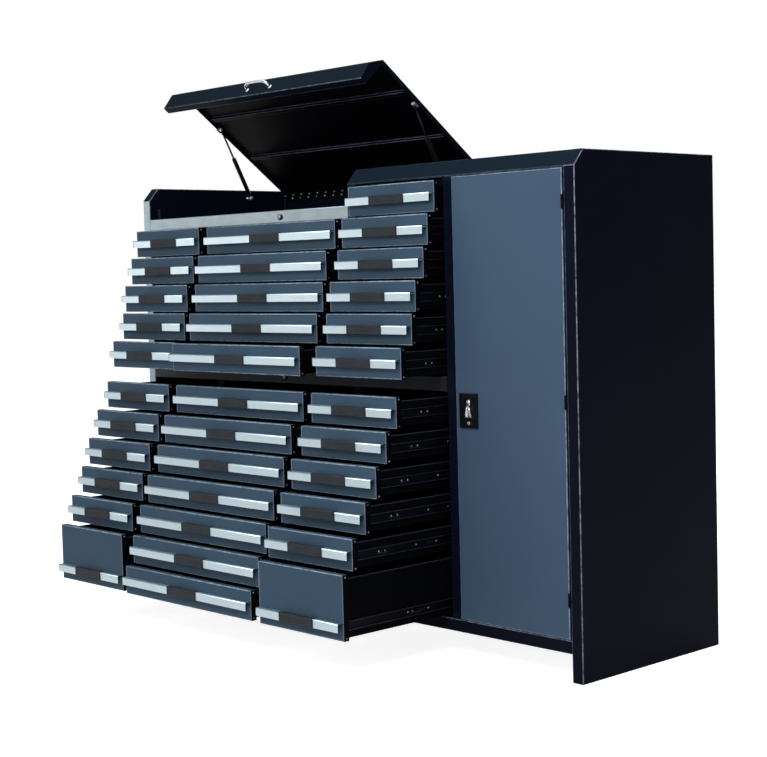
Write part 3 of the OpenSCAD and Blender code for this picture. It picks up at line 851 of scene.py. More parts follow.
def rounded_path(path: Sequence[Point], radius: float, steps: int) -> tuple[list[Point], list[bool]]:
    """Rounds the corners of an open path.

    Args:
        path: its corners.
        radius: radius of each bend.
        steps: segments of each bend.

    Returns:
        The points, and for each segment whether it lies in a bend.
    """
    points: list[Point] = [path[0]]
    marks: list[bool] = []
    for before, corner, after in zip(path, path[1:], path[2:]):
        c = Vector(corner)
        u = (Vector(before) - c).normalized()
        v = (Vector(after) - c).normalized()
        half = u.angle(v) / 2
        reach = radius / math.tan(half)
        centre = c + (u + v).normalized() * (radius / math.sin(half))
        start, end = c + u * reach - centre, c + v * reach - centre
        marks.append(False)
        points.append(tuple(centre + start))
        for k in range(1, steps + 1):
            arm = start.lerp(end, k / steps).normalized() * radius
            points.append(tuple(centre + arm))
            marks.append(True)
    marks.append(False)
    points.append(path[-1])
    return points, marks


def offset_path(path: Sequence[Point], thick: float) -> list[Point]:
    """Moves an open path to its right-hand side.

    Args:
        path: its points.
        thick: how far it moves.

    Returns:
        The moved points.
    """
    moved: list[Point] = []
    for k, point in enumerate(path):
        sides = []
        if k > 0:
            sides.append((Vector(point) - Vector(path[k - 1])).normalized())
        if k < len(path) - 1:
            sides.append((Vector(path[k + 1]) - Vector(point)).normalized())
        normals = [Vector((s.y, -s.x)) for s in sides]
        middle = sum(normals, Vector((0, 0))).normalized()
        moved.append(tuple(Vector(point) + middle * (thick / max(0.3, middle.dot(normals[0])))))
    return moved


# ---- grown parts: what repeats ----


class Growth:
    """A geometry node tree with named sizes that grows a plain mesh, kept for repeated use."""

    def __init__(
        self, name: str, sizes: dict[str, float], build: Callable[["Growth"], bpy.types.NodeSocket],
    ) -> None:
        """Builds the tree.

        Args:
            name: name of the tree.
            sizes: its inputs and their usual values; whole numbers become counts.
            build: adds the nodes and returns the geometry before it is realized.
        """
        self.tree = bpy.data.node_groups.new(name, "GeometryNodeTree")
        self.ids: dict[str, str] = {}
        self.tree.interface.new_socket("Geometry", in_out="OUTPUT", socket_type="NodeSocketGeometry")
        for key, value in sizes.items():
            kind = "NodeSocketInt" if isinstance(value, int) else "NodeSocketFloat"
            socket = self.tree.interface.new_socket(key, in_out="INPUT", socket_type=kind)
            socket.default_value = value
            self.ids[key] = socket.identifier
        finish = self.tree.interface.new_socket("Finish", in_out="INPUT", socket_type="NodeSocketMaterial")
        self.ids["Finish"] = finish.identifier
        self.given = self.tree.nodes.new("NodeGroupInput").outputs
        out = self.tree.nodes.new("NodeGroupOutput")
        real = self.add("GeometryNodeRealizeInstances")
        paint = self.add("GeometryNodeSetMaterial")
        self.tree.links.new(build(self), real.inputs[0])
        self.tree.links.new(real.outputs[0], paint.inputs["Geometry"])
        self.tree.links.new(self.given["Finish"], paint.inputs["Material"])
        self.tree.links.new(paint.outputs[0], out.inputs[0])
        self.kept: dict[tuple, bpy.types.Mesh] = {}

    def add(self, kind: str, **values: object) -> bpy.types.Node:
        """Adds a node.

        Args:
            kind: node type.
            values: its properties.

        Returns:
            The new node.
        """
        made = self.tree.nodes.new(kind)
        for key, value in values.items():
            setattr(made, key, value)
        return made

    def feed(self, socket: bpy.types.NodeSocket, value: object) -> None:
        """Links an output to a socket, or sets its own value."""
        if isinstance(value, bpy.types.NodeSocket):
            self.tree.links.new(value, socket)
        else:
            socket.default_value = value

    def vector(self, x: object = 0.0, y: object = 0.0, z: object = 0.0) -> bpy.types.NodeSocket:
        """Joins three values into a vector."""
        made = self.add("ShaderNodeCombineXYZ")
        for socket, value in zip(made.inputs, (x, y, z)):
            self.feed(socket, value)
        return made.outputs[0]

    def maths(self, operation: str, a: object, b: object = 0.0) -> bpy.types.NodeSocket:
        """Adds a Math node and returns its output."""
        made = self.add("ShaderNodeMath", operation=operation)
        self.feed(made.inputs[0], a)
        self.feed(made.inputs[1], b)
        return made.outputs[0]

    def line(self, count: object, step: bpy.types.NodeSocket) -> bpy.types.NodeSocket:
        """Adds a row of points from the origin."""
        made = self.add("GeometryNodeMeshLine", mode="OFFSET")
        self.feed(made.inputs["Count"], count)
        self.feed(made.inputs["Offset"], step)
        return made.outputs[0]

    def repeat(self, points: bpy.types.NodeSocket, part: bpy.types.NodeSocket) -> bpy.types.NodeSocket:
        """Puts a part on every point."""
        made = self.add("GeometryNodeInstanceOnPoints")
        self.feed(made.inputs["Points"], points)
        self.feed(made.inputs["Instance"], part)
        return made.outputs[0]

    def grow(self, finish: bpy.types.Material, **sizes: float) -> bpy.types.Mesh:
        """Evaluates the tree with its own sizes.

        Args:
            finish: material that the tree sets.
            sizes: values of its inputs.

        Returns:
            The plain mesh, the same one for the same sizes.
        """
        key = (finish.name, *sorted(sizes.items()))
        if key not in self.kept:
            seed = bpy.data.objects.new("growing", bpy.data.meshes.new("growing"))
            bpy.context.scene.collection.objects.link(seed)
            modifier = seed.modifiers.new("grow", "NODES")
            modifier.node_group = self.tree
            for name, value in sizes.items():
                modifier[self.ids[name]] = value
            modifier[self.ids["Finish"]] = finish
            view = bpy.context.evaluated_depsgraph_get()
            self.kept[key] = bpy.data.meshes.new_from_object(seed.evaluated_get(view))
            seed.modifiers.remove(modifier)
            bpy.data.objects.remove(seed)
        return self.kept[key]


def screw_rows(g: Growth) -> bpy.types.NodeSocket:
    """A row of domed screw heads that look towards -Y."""
    head = g.add("GeometryNodeMeshUVSphere")
    head.inputs["Segments"].default_value = 12
    head.inputs["Rings"].default_value = 6
    g.feed(head.inputs["Radius"], g.given["Radius"])
    squash = g.add("GeometryNodeTransform")
    g.feed(squash.inputs["Geometry"], head.outputs[0])
    g.feed(squash.inputs["Scale"], g.vector(1.0, g.given["Dome"], 1.0))
    turn = g.add("GeometryNodeTransform")
    g.feed(turn.inputs["Geometry"], squash.outputs[0])
    g.feed(turn.inputs["Rotation"], g.vector(g.given["Tilt"], 0.0, g.given["Face"]))
    shade = g.add("GeometryNodeSetShadeSmooth")
    g.feed(shade.inputs[0], turn.outputs[0])
    row = g.line(g.given["Count"], g.vector(g.given["Step X"], g.given["Step Y"], g.given["Step Z"]))
    return g.repeat(row, shade.outputs[0])


def rib_rows(g: Growth) -> bpy.types.NodeSocket:
    """Parallel rounded ribs along X, one above the other."""
    rib = g.add("GeometryNodeMeshCylinder")
    rib.inputs["Vertices"].default_value = 8
    g.feed(rib.inputs["Radius"], g.given["Radius"])
    g.feed(rib.inputs["Depth"], g.given["Length"])
    lay = g.add("GeometryNodeTransform")
    g.feed(lay.inputs["Geometry"], rib.outputs[0])
    lay.inputs["Rotation"].default_value = (0.0, math.pi / 2, 0.0)
    row = g.line(g.given["Count"], g.vector(0.0, g.given["Step Y"], g.given["Step Z"]))
    return g.repeat(row, lay.outputs[0])


def knuckle_rows(g: Growth) -> bpy.types.NodeSocket:
    """Hinge knuckles along X with a gap between each two."""
    knuckle = g.add("GeometryNodeMeshCylinder")
    knuckle.inputs["Vertices"].default_value = 14
    g.feed(knuckle.inputs["Radius"], g.given["Radius"])
    g.feed(knuckle.inputs["Depth"], g.given["Length"])
    lay = g.add("GeometryNodeTransform")
    g.feed(lay.inputs["Geometry"], knuckle.outputs[0])
    lay.inputs["Rotation"].default_value = (0.0, math.pi / 2, 0.0)
    g.feed(lay.inputs["Translation"], g.vector(g.maths("MULTIPLY", g.given["Length"], 0.5)))
    row = g.line(g.given["Count"], g.vector(g.given["Step X"], 0.0, 0.0))
    return g.repeat(row, lay.outputs[0])


@dataclass
class Workshop:
    """What every class builds with: the materials and the growing trees."""

    palette: Palette
    screws: Growth
    ribs: Growth
    knuckles: Growth

    def add_screws(
        self, shape: Shape, place: tuple[float, float, float], count: int, step: tuple[float, float, float],
        finish: Finish = Finish.ZINC, radius: float = 2.4, dome: float = 0.45,
        face: float = 0.0, tilt: float = 0.0,
    ) -> None:
        """Adds a row of screw heads to a shape.

        Args:
            shape: what they are added to.
            place: first head, as x, depth and z.
            count: how many.
            step: from one to the next.
            finish: their finish.
            radius: radius of a head.
            dome: height of a head against its radius.
            face: turn about Z in radians, 0 for heads that look forward.
            tilt: turn about X in radians.
        """
        grown = self.screws.grow(
            self.palette.get(finish), Count=count, Radius=radius, Dome=dome, Face=face, Tilt=tilt,
            **{"Step X": step[0], "Step Y": step[1], "Step Z": step[2]},
        )
        shape.absorb(grown, finish, Vector(place))


def workshop() -> Workshop:
    """Builds the palette and the growing trees.

    Returns:
        The workshop.
    """
    steps = {"Step X": 0.0, "Step Y": 0.0, "Step Z": 0.0}
    return Workshop(
        Palette(),
        Growth(
            "screw_rows",
            {"Count": 1, "Radius": 2.4, "Dome": 0.45, "Face": 0.0, "Tilt": 0.0, **steps},
            screw_rows,
        ),
        Growth(
            "rib_rows", {"Count": 3, "Radius": 1.0, "Length": 140.0, "Step Y": 0.0, "Step Z": 6.0},
            rib_rows,
        ),
        Growth("knuckle_rows", {"Count": 6, "Radius": 2.6, "Length": 79.0, "Step X": 160.0}, knuckle_rows),
    )


# ---- drawers ----


@dataclass
class Drawer:
    """One drawer: folded front, tray with its slide members, pull and grip."""

    node: str
    x0: float = 0.0
    x1: float = 0.0
    front: float = 0.0
    z0: float = 0.0
    z1: float = 0.0
    tray_in: float = 10.2
    tray_depth: float = 540.0
    tray_low: float = 6.0
    tray_drop: float = 12.5
    fold_depth: float = 20.0
    pull_out: float = 18.0
    pull_height: float = 24.5
    grip_length: float = 147.0
    grip_proud: float = 2.4
    member_z: float = 28.0
    member_height: float = 26.0
    member_out: float = 5.7

    def __post_init__(self) -> None:
        """Takes its place from the CAD node."""
        low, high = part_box(self.node)
        self.x0, self.x1 = low.x / MM, high.x / MM
        self.z0, self.z1 = low.z / MM, high.z / MM
        self.front = low.y / MM - FRONT_Y + self.pull_out + self.grip_proud

    @property
    def pull_z(self) -> float:
        """Height of the pull's lower edge."""
        return self.z0 + (27.0 if self.z1 - self.z0 > 120.0 else 32.0)

    def build(self, shop: Workshop) -> None:
        """Builds the four pieces of the drawer.

        Args:
            shop: materials and trees.
        """
        body = f"{self.node}_body"
        parts = {
            "front": (self.build_front(shop), Slot.FRONT),
            "tray": (self.build_tray(shop), Slot.BODY),
            "pull": (self.build_pull(), Slot.BRIGHT),
            "grip": (self.build_grip(shop), Slot.BODY),
        }
        for part, (shape, slot) in parts.items():
            shape.piece(f"{self.node}_{part}", body, slot, shop.palette, (self.node,))

    def build_front(self, shop: Workshop) -> Shape:
        """Front sheet with coloured upper and lower returns and dark side returns.

        Args:
            shop: materials and trees.

        Returns:
            The front's shape.
        """
        shape, f = Shape(), self.front
        x, z = (self.x0, self.x1), (self.z0, self.z1)
        outer = [
            (f + self.fold_depth, z[0] + 0.1), (f, z[0]), (f, z[1]), (f + self.fold_depth, z[1] - 0.1),
        ]
        shape.folded(outer, 1.2, (x[0] + 1.0, x[1] - 1.0), Finish.SLATE, 3.0, 3)
        for side, xx in ((-1, (x[0], x[0] + 1.2)), (1, (x[1] - 1.2, x[1]))):
            shape.slab(xx, (f + 0.9, f + self.fold_depth), (z[0], z[1]), Finish.TRAY)
            # the rim strips in the lighter slate finish are a painted highlight along the front's side
            # edges
            rim = (x[0], x[0] + 2.8) if side < 0 else (x[1] - 1.8, x[1])
            shape.slab(rim, (f - 0.1, f + 1.4), (z[0] + 1.6, z[1] - 1.6), Finish.SLATE_EDGE)
            edge = xx[0] if side < 0 else xx[1]
            for height in (z[0] + 7.0, z[1] - 7.0):
                finish = Finish.RED_ZINC if (round(height) + side) % 3 == 0 else Finish.ZINC
                shop.add_screws(
                    shape, (
                        edge + side * 0.15, f + 11.0, height,
                    ), 1, (0, 0, 0), finish, 2.3, 0.5, math.pi / 2
                )
        return shape

    def build_tray(self, shop: Workshop) -> Shape:
        """Tray with rolled upper edges, slide members, rivets and release levers.

        Args:
            shop: materials and trees.

        Returns:
            The tray's shape.
        """
        shape = Shape()
        y0 = self.front + self.fold_depth + 0.2
        y1 = self.front + self.fold_depth + self.tray_depth
        z0, z1 = self.z0 + self.tray_low, self.z1 - self.tray_drop
        xa, xb = self.x0 + self.tray_in, self.x1 - self.tray_in
        finish = Finish.TRAY
        shape.slab((xa, xa + 1.0), (y0, y1), (z0, z1), finish)
        shape.slab((xb - 1.0, xb), (y0, y1), (z0, z1), finish)
        shape.slab((xa + 0.8, xb - 0.8), (y0, y1), (z0, z0 + 1.0), finish)
        shape.slab((xa + 0.8, xb - 0.8), (y0, y0 + 1.0), (z0 + 0.8, z1), finish)
        shape.slab((xa + 0.8, xb - 0.8), (y1 - 1.0, y1), (z0 + 0.8, z1), finish)
        for side, edge in ((-1, xa), (1, xb)):
            # the rolled edges take the lighter tray finish: a painted highlight along the tray's top
            roll = (edge - 0.3, edge + 5.0) if side < 0 else (edge - 5.0, edge + 0.3)
            shape.slab(roll, (y0 + 2, y1 - 2), (z1 - 2.2, z1 + 0.2), Finish.TRAY_EDGE)
        for side, edge in ((-1, xa - 0.2), (1, xb + 0.2)):
            self._member(shape, side, edge, y0, y1)
            clip_y = y0 + (80.0 if self.z1 - self.z0 < 120.0 else 246.0)
            rivets = (clip_y + 8, clip_y + 32, y0 + 236, y0 + 318, y0 + 470)
            for depth in rivets:
                shop.add_screws(
                    shape, (edge + side * 1.4, depth, self.z0 + self.member_z + 13.0), 1, (0, 0, 0),
                    Finish.ZINC, 2.7, 0.5, math.pi / 2,
                )
            # the clip shares the lighter slide finish, the painted highlight of the lips
            clip = sorted((edge + side * 0.8, edge + side * 3.0))
            shape.slab(
                (clip[0], clip[1]), (clip_y, clip_y + 40),
                (self.z0 + self.member_z + 7.0, self.z0 + self.member_z + 9.0), Finish.SLIDE_LIP,
            )
            lever = (edge + side * 1.0, edge + side * 4.2)
            shape.slab(
                (min(lever), max(lever)), (y0 + 272, y0 + 308),
                (self.z0 + self.member_z + 9.5, self.z0 + self.member_z + 16.5), Finish.BLACK,
            )
        return shape

    def _member(self, shape: Shape, side: int, edge: float, y0: float, y1: float) -> None:
        """Adds one channel-shaped slide member.

        Args:
            shape: the tray's shape.
            side: -1 for the left, 1 for the right.
            edge: its face at the tray.
            y0: front of the tray.
            y1: back of the tray.
        """
        z = self.z0 + self.member_z
        web = sorted((edge, edge + side * 1.4))
        lip = sorted((edge, edge + side * self.member_out))
        ys = (y0 + 4.0, y1 - 20.2)
        shape.slab((web[0], web[1]), ys, (z + 1.2, z + self.member_height - 1.2), Finish.SLIDE)
        # the lips take the lighter slide finish: a painted highlight along the member's edges
        for low in (z, z + self.member_height - 1.6):
            shape.slab((lip[0], lip[1]), ys, (low, low + 1.6), Finish.SLIDE_LIP)

    def build_pull(self) -> Shape:
        """Hooked aluminium pull, open below, with dark end pieces.

        Returns:
            The pull's shape.
        """
        shape, f, z = Shape(), self.front, self.pull_z
        top = z + self.pull_height
        path = [(f - self.pull_out, z), (f - self.pull_out, top), (f - 0.3, top), (f - 0.3, top - 5.0)]
        shape.folded(path, 2.0, (self.x0 + 3.6, self.x1 - 3.6), Finish.PULL, 2.6, 3)
        lip = [
            (f - self.pull_out - 0.1, z - 0.2), (f - self.pull_out - 0.1, top + 0.1),
            (f - 0.4, top + 0.1),
        ]
        for edge in (self.x0 + 2.0, self.x1 - 3.8):
            shape.folded(lip, 2.6, (edge, edge + 1.8), Finish.BLACK, 2.6, 3)
        return shape

    def build_grip(self, shop: Workshop) -> Shape:
        """Ribbed soft grip clipped over the middle of the pull.

        Args:
            shop: materials and trees.

        Returns:
            The grip's shape.
        """
        shape, f, z = Shape(), self.front, self.pull_z
        middle = (self.x0 + self.x1) / 2
        half = self.grip_length / 2
        out, top = f - self.pull_out - self.grip_proud + 0.4, z + self.pull_height + 1.9
        path = [(out + 2.2, z - 2.0), (out, z - 1.8), (out, top), (f - 4.0, top), (f - 4.0, top - 1.7)]
        shape.folded(path, 1.9, (middle - half, middle + half), Finish.GRIP, 1.6, 3)
        for side in (-1, 1):
            ends = sorted((middle + side * half, middle + side * (half - 2.0)))
            shape.slab((ends[0], ends[1]), (out - 0.35, out + 1.2), (z - 1.4, top - 0.8), Finish.GRIP)
        ribs = shop.ribs.grow(
            shop.palette.get(Finish.GRIP), Count=4, Radius=1.9, Length=self.grip_length - 6.0,
            **{"Step Y": 0.0, "Step Z": 6.1},
        )
        shape.absorb(ribs, Finish.GRIP, Vector((middle, out + 0.9, z + 3.6)))
        return shape


# ---- carcass ----


@dataclass
class Carcass:
    """End panels, rails, fixed top and the plain inner sheets of the body."""

    width: float = 2000.0
    depth: float = 630.0
    height: float = 1458.0
    end_thick: float = 38.0
    slope_depth: float = 39.0
    slope_drop: float = 44.0
    under: float = 80.0
    top_x0: float = 92.0
    rail_z: Span = (1308.0, 1347.0)
    mid_z: Span = (787.0, 830.0)
    low_z: Span = (80.0, 117.0)

    @property
    def slope_z(self) -> float:
        """Height at which the slope begins."""
        return self.height - self.slope_drop

    @property
    def inner(self) -> float:
        """Distance of the end panels' inner faces from the middle."""
        return self.width / 2 - self.end_thick

    def build(self, shop: Workshop) -> None:
        """Builds the body's pieces and dresses the CAD sheets that stay.

        Args:
            shop: materials and trees.
        """
        palette = shop.palette
        for side, node in ((-1, "left_end_panel"), (1, "right_end_panel")):
            self.end_panel(side).piece(f"{node}_shell", "carcass", Slot.BODY, palette, (node,))
        self.rails(shop).piece("cross_rail_sheets", "carcass", Slot.RAIL, palette, ("cross_rails",))
        self.fixed_top().piece("fixed_top_sheet", "carcass", Slot.BODY, palette, ("fixed_top",))
        self.rear(shop).piece("rear_sheet", "carcass", Slot.BODY, palette, ("rear_panel",))
        self.base().piece("base_tray", "carcass", Slot.BODY, palette, ("base_panel",))
        for node in ("partitions", "compartment_floor", "locker_shelves"):
            palette.dress(node, Finish.NAVY)
        palette.dress("slide_channels", Finish.SLIDE)
        LOG.info("partitions, compartment floor, shelves and slide channels dressed")

    def end_panel(self, side: int) -> Shape:
        """Hollow folded end panel down to the floor.

        Args:
            side: -1 for the left, 1 for the right.

        Returns:
            Its shape.
        """
        shape = Shape()
        outer = side * self.width / 2
        inner = side * self.inner
        x = (min(outer, inner), max(outer, inner))
        outline = [
            (0, 0), (self.depth, 0), (self.depth, self.height),
            (self.slope_depth, self.height), (0, self.slope_z),
        ]
        shape.prism(outline, x, Finish.NAVY, 2.2, 2)
        face = (x[0] + 1.8, x[1] - 1.8)
        slope = [
            (0.6, self.slope_z + 1.0), (self.slope_depth - 0.8, self.height - 0.6),
            (self.slope_depth - 0.4, self.height - 1.2), (1.0, self.slope_z + 0.2),
        ]
        lift = [(p[0] - 0.75, p[1] + 0.65) for p in slope]
        # the skin over the slope takes the lighter slope coat: painted light
        shape.prism(lift, face, Finish.TEAL)
        if side < 0:
            shape.slab(face, (-0.15, 0.6), (2.0, self.slope_z - 1.0), Finish.RAIL)
        return shape

    def rails(self, shop: Workshop) -> Shape:
        """Top rail under the lid, and the rail between the rows of banks, its steel darkened as painted
        shade.

        Args:
            shop: materials and trees.

        Returns:
            Their shape.
        """
        shape = Shape()
        low, high = self.rail_z
        path = [(14.0, low), (0.0, low), (0.0, high), (22.0, high), (22.0, high - 8.0)]
        shape.folded(path, 1.2, (-self.inner + 0.2, self.top_x0 - 0.2), Finish.RAIL, 1.6, 3)
        # the rail between the banks takes the darkened steel: painted shade
        low, high = self.mid_z
        path = [(40.0, low), (0.0, low), (0.0, high), (40.0, high)]
        shape.folded(path, 1.2, (-self.inner + 0.2, 504.8), Finish.MID_RAIL, 1.6, 3)
        shop.add_screws(shape, (-self.inner + 12, -0.1, low + 21), 2, (340, 0, 0), Finish.SLIDE, 3.0, 0.4)
        return shape

    def fixed_top(self) -> Shape:
        """Top sheet over the right bank and the locker, with its sloping front edge.

        Returns:
            Its shape.
        """
        shape = Shape()
        x = (self.top_x0, self.inner - 0.2)
        path = [
            (16.0, self.slope_z - 3.6), (0.0, self.slope_z - 3.6), (0.0, self.slope_z),
            (self.slope_depth, self.height), (
                self.depth - 0.5, self.height,
            ), (self.depth - 0.5, self.height - 14),
        ]
        # the front edge and slope take the lighter slope coat: painted light
        shape.folded(path[:4] + [(self.slope_depth + 6, self.height)], 1.2, x, Finish.TEAL, 1.4, 3)
        shape.slab(
            x, (self.slope_depth + 5.6, self.depth - 0.5), (self.height - 1.2, self.height),
            Finish.NAVY,
        )
        for a, b, z in ((132.2, 504.8, 1393.0), (538.2, self.inner - 0.2, 1412.0)):
            shape.slab((a, b), (24.0, 26.0), (z, self.height - 30), Finish.NAVY)
        shape.slab(
            (self.top_x0, self.top_x0 + 1.2), (46, self.depth - 2),
            (self.height - 20, self.height - 1.3), Finish.NAVY,
        )
        return shape

    def rear(self, shop: Workshop) -> Shape:
        """Rear sheets with swaged panels and rows of screws.

        Args:
            shop: materials and trees.

        Returns:
            Their shape.
        """
        shape = Shape()
        y = (627.0, 628.2)
        left = (-self.inner + 0.2, self.top_x0 - 0.2)
        right = (self.top_x0, self.inner - 0.2)
        shape.slab(left, y, (self.under, 1434.2), Finish.NAVY)
        shape.slab(right, y, (self.under, self.height - 1.4), Finish.NAVY)
        # a strip in the lighter tray finish in the rear left corner: a painted highlight
        shape.slab(
            (-self.inner + 0.3, -self.inner + 2.8), (623.8, 626.9), (1308.0, 1431.0),
            Finish.TRAY_EDGE,
        )
        for (a, b), top in ((left, 1400.0), (right, 1420.0)):
            count = 2
            pitch = (b - a) / count
            for k in range(count):
                low = self.under + 60
                raised = [
                    (y[1] - 0.3, low), (y[1] + 1.6, low + 12), (y[1] + 1.6, top - 12),
                    (y[1] - 0.3, top),
                ]
                shape.prism(raised, (a + k * pitch + 40, a + (k + 1) * pitch - 40), Finish.NAVY)
            shop.add_screws(
                shape, (
                    a + 12, y[1] + 0.2, self.under + 18,
                ), 8, ((b - a - 24) / 7, 0, 0), Finish.ZINC, 3.4, 0.4
            )
            shop.add_screws(
                shape, (a + 12, y[1] + 0.2, top + 8), 8, ((b - a - 24) / 7, 0, 0), Finish.ZINC, 3.4, 0.4
            )
        return shape

    def base(self) -> Shape:
        """Bottom tray of the body with its front rail.

        Returns:
            Its shape.
        """
        shape = Shape()
        x = (-self.inner + 0.2, self.inner - 0.2)
        low, high = self.low_z
        path = [(626.0, low), (0.0, low), (0.0, high), (34.0, high)]
        shape.folded(path, 1.4, x, Finish.NAVY, 1.8, 3)
        for k in range(3):
            depth = 140.0 + 170.0 * k
            shape.slab((x[0] + 60, x[1] - 60), (depth, depth + 46), (low - 1.6, low + 0.8), Finish.NAVY)
        return shape


# ---- lid ----


@dataclass
class Lid:
    """Lift-up lid with its stiffeners, handle, hinge and struts, drawn closed and turned open."""

    x0: float = -959.0
    x1: float = 88.0
    low_z: float = 1351.0
    top_z: float = 1458.0
    slope_z: float = 1414.0
    slope_depth: float = 39.0
    back: float = 628.2
    hinge: Point = (623.0, 1436.0)
    opened: float = 37.0
    wall_stud: Point = (448.0, 1428.0)
    lid_stud: Point = (234.0, 1445.5)
    strut_x: Span = (-945.0, 70.0)
    hinge_parts: int = 13

    def build(self, shop: Workshop) -> None:
        """Builds the lid's pieces, its hinge and its struts.

        Args:
            shop: materials and trees.
        """
        palette = shop.palette
        shell = self.shell(shop)
        shell.turn_about(*self.hinge, -self.opened)
        shell.piece("lid_shell", "lid_body", Slot.BODY, palette, ("lid",))
        handle = self.handle()
        handle.turn_about(*self.hinge, -self.opened)
        handle.piece("lid_arched_handle", "lid_body", Slot.BRIGHT, palette, ("lid_handle",))
        leaf = self.moving_leaf(shop)
        leaf.turn_about(*self.hinge, -self.opened)
        leaf.piece("lid_hinge_leaf", "lid_body", Slot.BODY, palette, ("lid_hardware",))
        self.fixed_leaf(shop).piece(
            "compartment_hinge_leaf", "carcass", Slot.BODY, palette, ("compartment_hardware",)
        )
        for side, x in zip(("left", "right"), self.strut_x):
            self.strut(side, x, palette)

    def shell(self, shop: Workshop) -> Shape:
        """Folded lid sheet with end caps, flanges and two hat-shaped stiffeners.

        Args:
            shop: materials and trees.

        Returns:
            Its shape, closed.
        """
        shape = Shape()
        x = (self.x0, self.x1)
        inner = self.top_z - 1.4
        front = [
            (3.5, self.low_z), (0.0, self.low_z), (0.0, self.slope_z),
            (self.slope_depth, self.top_z), (self.slope_depth + 8, self.top_z),
        ]
        # the lid's front and slope take the lighter slope coat: painted light
        shape.folded(front, 1.2, x, Finish.TEAL, 2.4, 3)
        lip = [(27.0, self.low_z + 10.0), (27.0, self.low_z), (3.0, self.low_z)]
        shape.folded(lip, 1.2, x, Finish.NAVY, 1.8, 3)
        shape.slab(
            (x[0], x[1]), (self.slope_depth + 7.6, self.back), (self.top_z - 1.2, self.top_z),
            Finish.NAVY,
        )
        shape.slab(
            (x[0] + 1, x[1] - 1), (
                self.slope_depth + 8, self.back - 1,
            ), (self.top_z - 1.6, self.top_z - 1.0),
            Finish.UNDERLID,
        )
        shape.slab(
            (x[0] + 1.4, x[1] - 1.4), (self.back - 1.2, self.back), (self.hinge[1] + 2.2, inner),
            Finish.NAVY,
        )
        cap = [
            (1.4, self.low_z + 1.4), (26.0, self.low_z + 1.4), (self.slope_depth + 3.6, self.top_z - 20),
            (self.slope_depth + 3.6, self.top_z - 1.6), (
                self.slope_depth + 2, self.top_z - 1.6,
            ), (1.4, self.slope_z - 2),
        ]
        for a, b in ((x[0], x[0] + 1.2), (x[1] - 1.2, x[1])):
            shape.prism(cap, (a, b), Finish.NAVY)
            shape.slab((a, b), (self.slope_depth + 4, self.back), (inner - 15, inner), Finish.NAVY)
        for depth in (self.hinge[0] - 438, self.hinge[0] - 216):
            self._stiffener(shape, shop, depth)
        return shape

    def _stiffener(self, shape: Shape, shop: Workshop, depth: float) -> None:
        """Adds one hat-shaped stiffener with the screws at its ends.

        Args:
            shape: the lid's shape.
            shop: materials and trees.
            depth: depth of its middle.
        """
        z = self.top_z - 1.5
        x = (self.x0 + 18, self.x1 - 18)
        hat = [
            (depth + 15, z - 0.9), (depth + 8, z - 0.9), (depth + 8, z - 12), (depth - 8, z - 12),
            (depth - 8, z - 0.9), (depth - 15, z - 0.9),
        ]
        # the stiffener's lighter folds are a painted highlight along its edges
        shape.folded(hat, 1.0, x, Finish.STIFFENER, 2.2, 2)
        for dy in (-11.5, 11.5):
            shop.add_screws(
                shape, (
                    x[0] + 14, depth + dy, z - 1.4,
                ), 2, (x[1] - x[0] - 28, 0, 0), Finish.SLIDE, 2.6, 0.4,
                tilt=math.pi / 2,
            )

    def handle(self) -> Shape:
        """Arched chrome handle on two round feet.

        Returns:
            Its shape, closed.
        """
        shape = Shape()
        xc = (self.x0 + self.x1) / 2
        z = self.low_z + 25.0
        half = 60.0
        for side in (-1, 1):
            shape.turned(
                [(0, -3.2), (6.5, -3.2), (8.0, -2.2), (8.0, -0.2), (0, -0.2)],
                Vector((xc + side * half, 0.0, z)), Axis.Y, Finish.CHROME, 24,
            )
        points = []
        count = 30
        for k in range(count + 1):
            t = math.pi * k / count
            squared = abs(math.cos(t)) ** 0.5 * (1 if math.cos(t) > 0 else -1)
            bow = math.sin(t) ** 0.55
            points.append(Vector((xc - squared * (half - 3.0 * bow), -2.0 - 25.0 * bow, z + 5.0 * bow)))
        shape.tube(points, 5.0, Finish.CHROME, 14)
        return shape

    def _leaf_length(self) -> float:
        """Length of one part of the long hinge."""
        return (self.x1 - self.x0 - 4.0) / self.hinge_parts

    def moving_leaf(self, shop: Workshop) -> Shape:
        """Moving hinge leaf with its knuckles and screws, and the two strut studs of the lid.

        Args:
            shop: materials and trees.

        Returns:
            Its shape, closed.
        """
        shape = Shape()
        hy, hz = self.hinge
        step = self._leaf_length()
        x = (self.x0 + 2, self.x1 - 2)
        shape.slab(x, (hy + 2.3, hy + 3.8), (hz + 3, self.top_z - 4), Finish.TRAY)
        first = self.x0 + 2 + step + 0.3
        rows = shop.knuckles.grow(
            shop.palette.get(Finish.TRAY), Count=self.hinge_parts // 2, Radius=2.6, Length=step - 0.6,
            **{"Step X": step * 2},
        )
        shape.absorb(rows, Finish.TRAY, Vector((first, hy, hz)))
        for k in range(self.hinge_parts // 2):
            a = first + 2 * k * step
            shape.slab((a, a + step - 0.6), (hy + 0.9, hy + 3.6), (hz + 1.5, hz + 4.2), Finish.TRAY)
        shop.add_screws(shape, (x[0] + 41, hy + 2.2, hz + 9.5), 22, (46.8, 0, 0), Finish.NICKEL, 3.3, 0.5)
        sy, sz = self.lid_stud
        for side, sx in zip((-1, 1), self.strut_x):
            plate = (sx - 12.6, sx - 10.8) if side < 0 else (sx + 14.0, sx + 16.0)
            shape.prism(
                [
                    (sy - 12, sz - 6), (sy - 9, sz - 9), (sy + 9, sz - 9), (sy + 12, sz - 6),
                    (sy + 12, self.top_z - 1.6), (sy - 12, self.top_z - 1.6),
                ],
                plate, Finish.ZINC,
            )
            near = 10.9 if side < 0 else 14.1
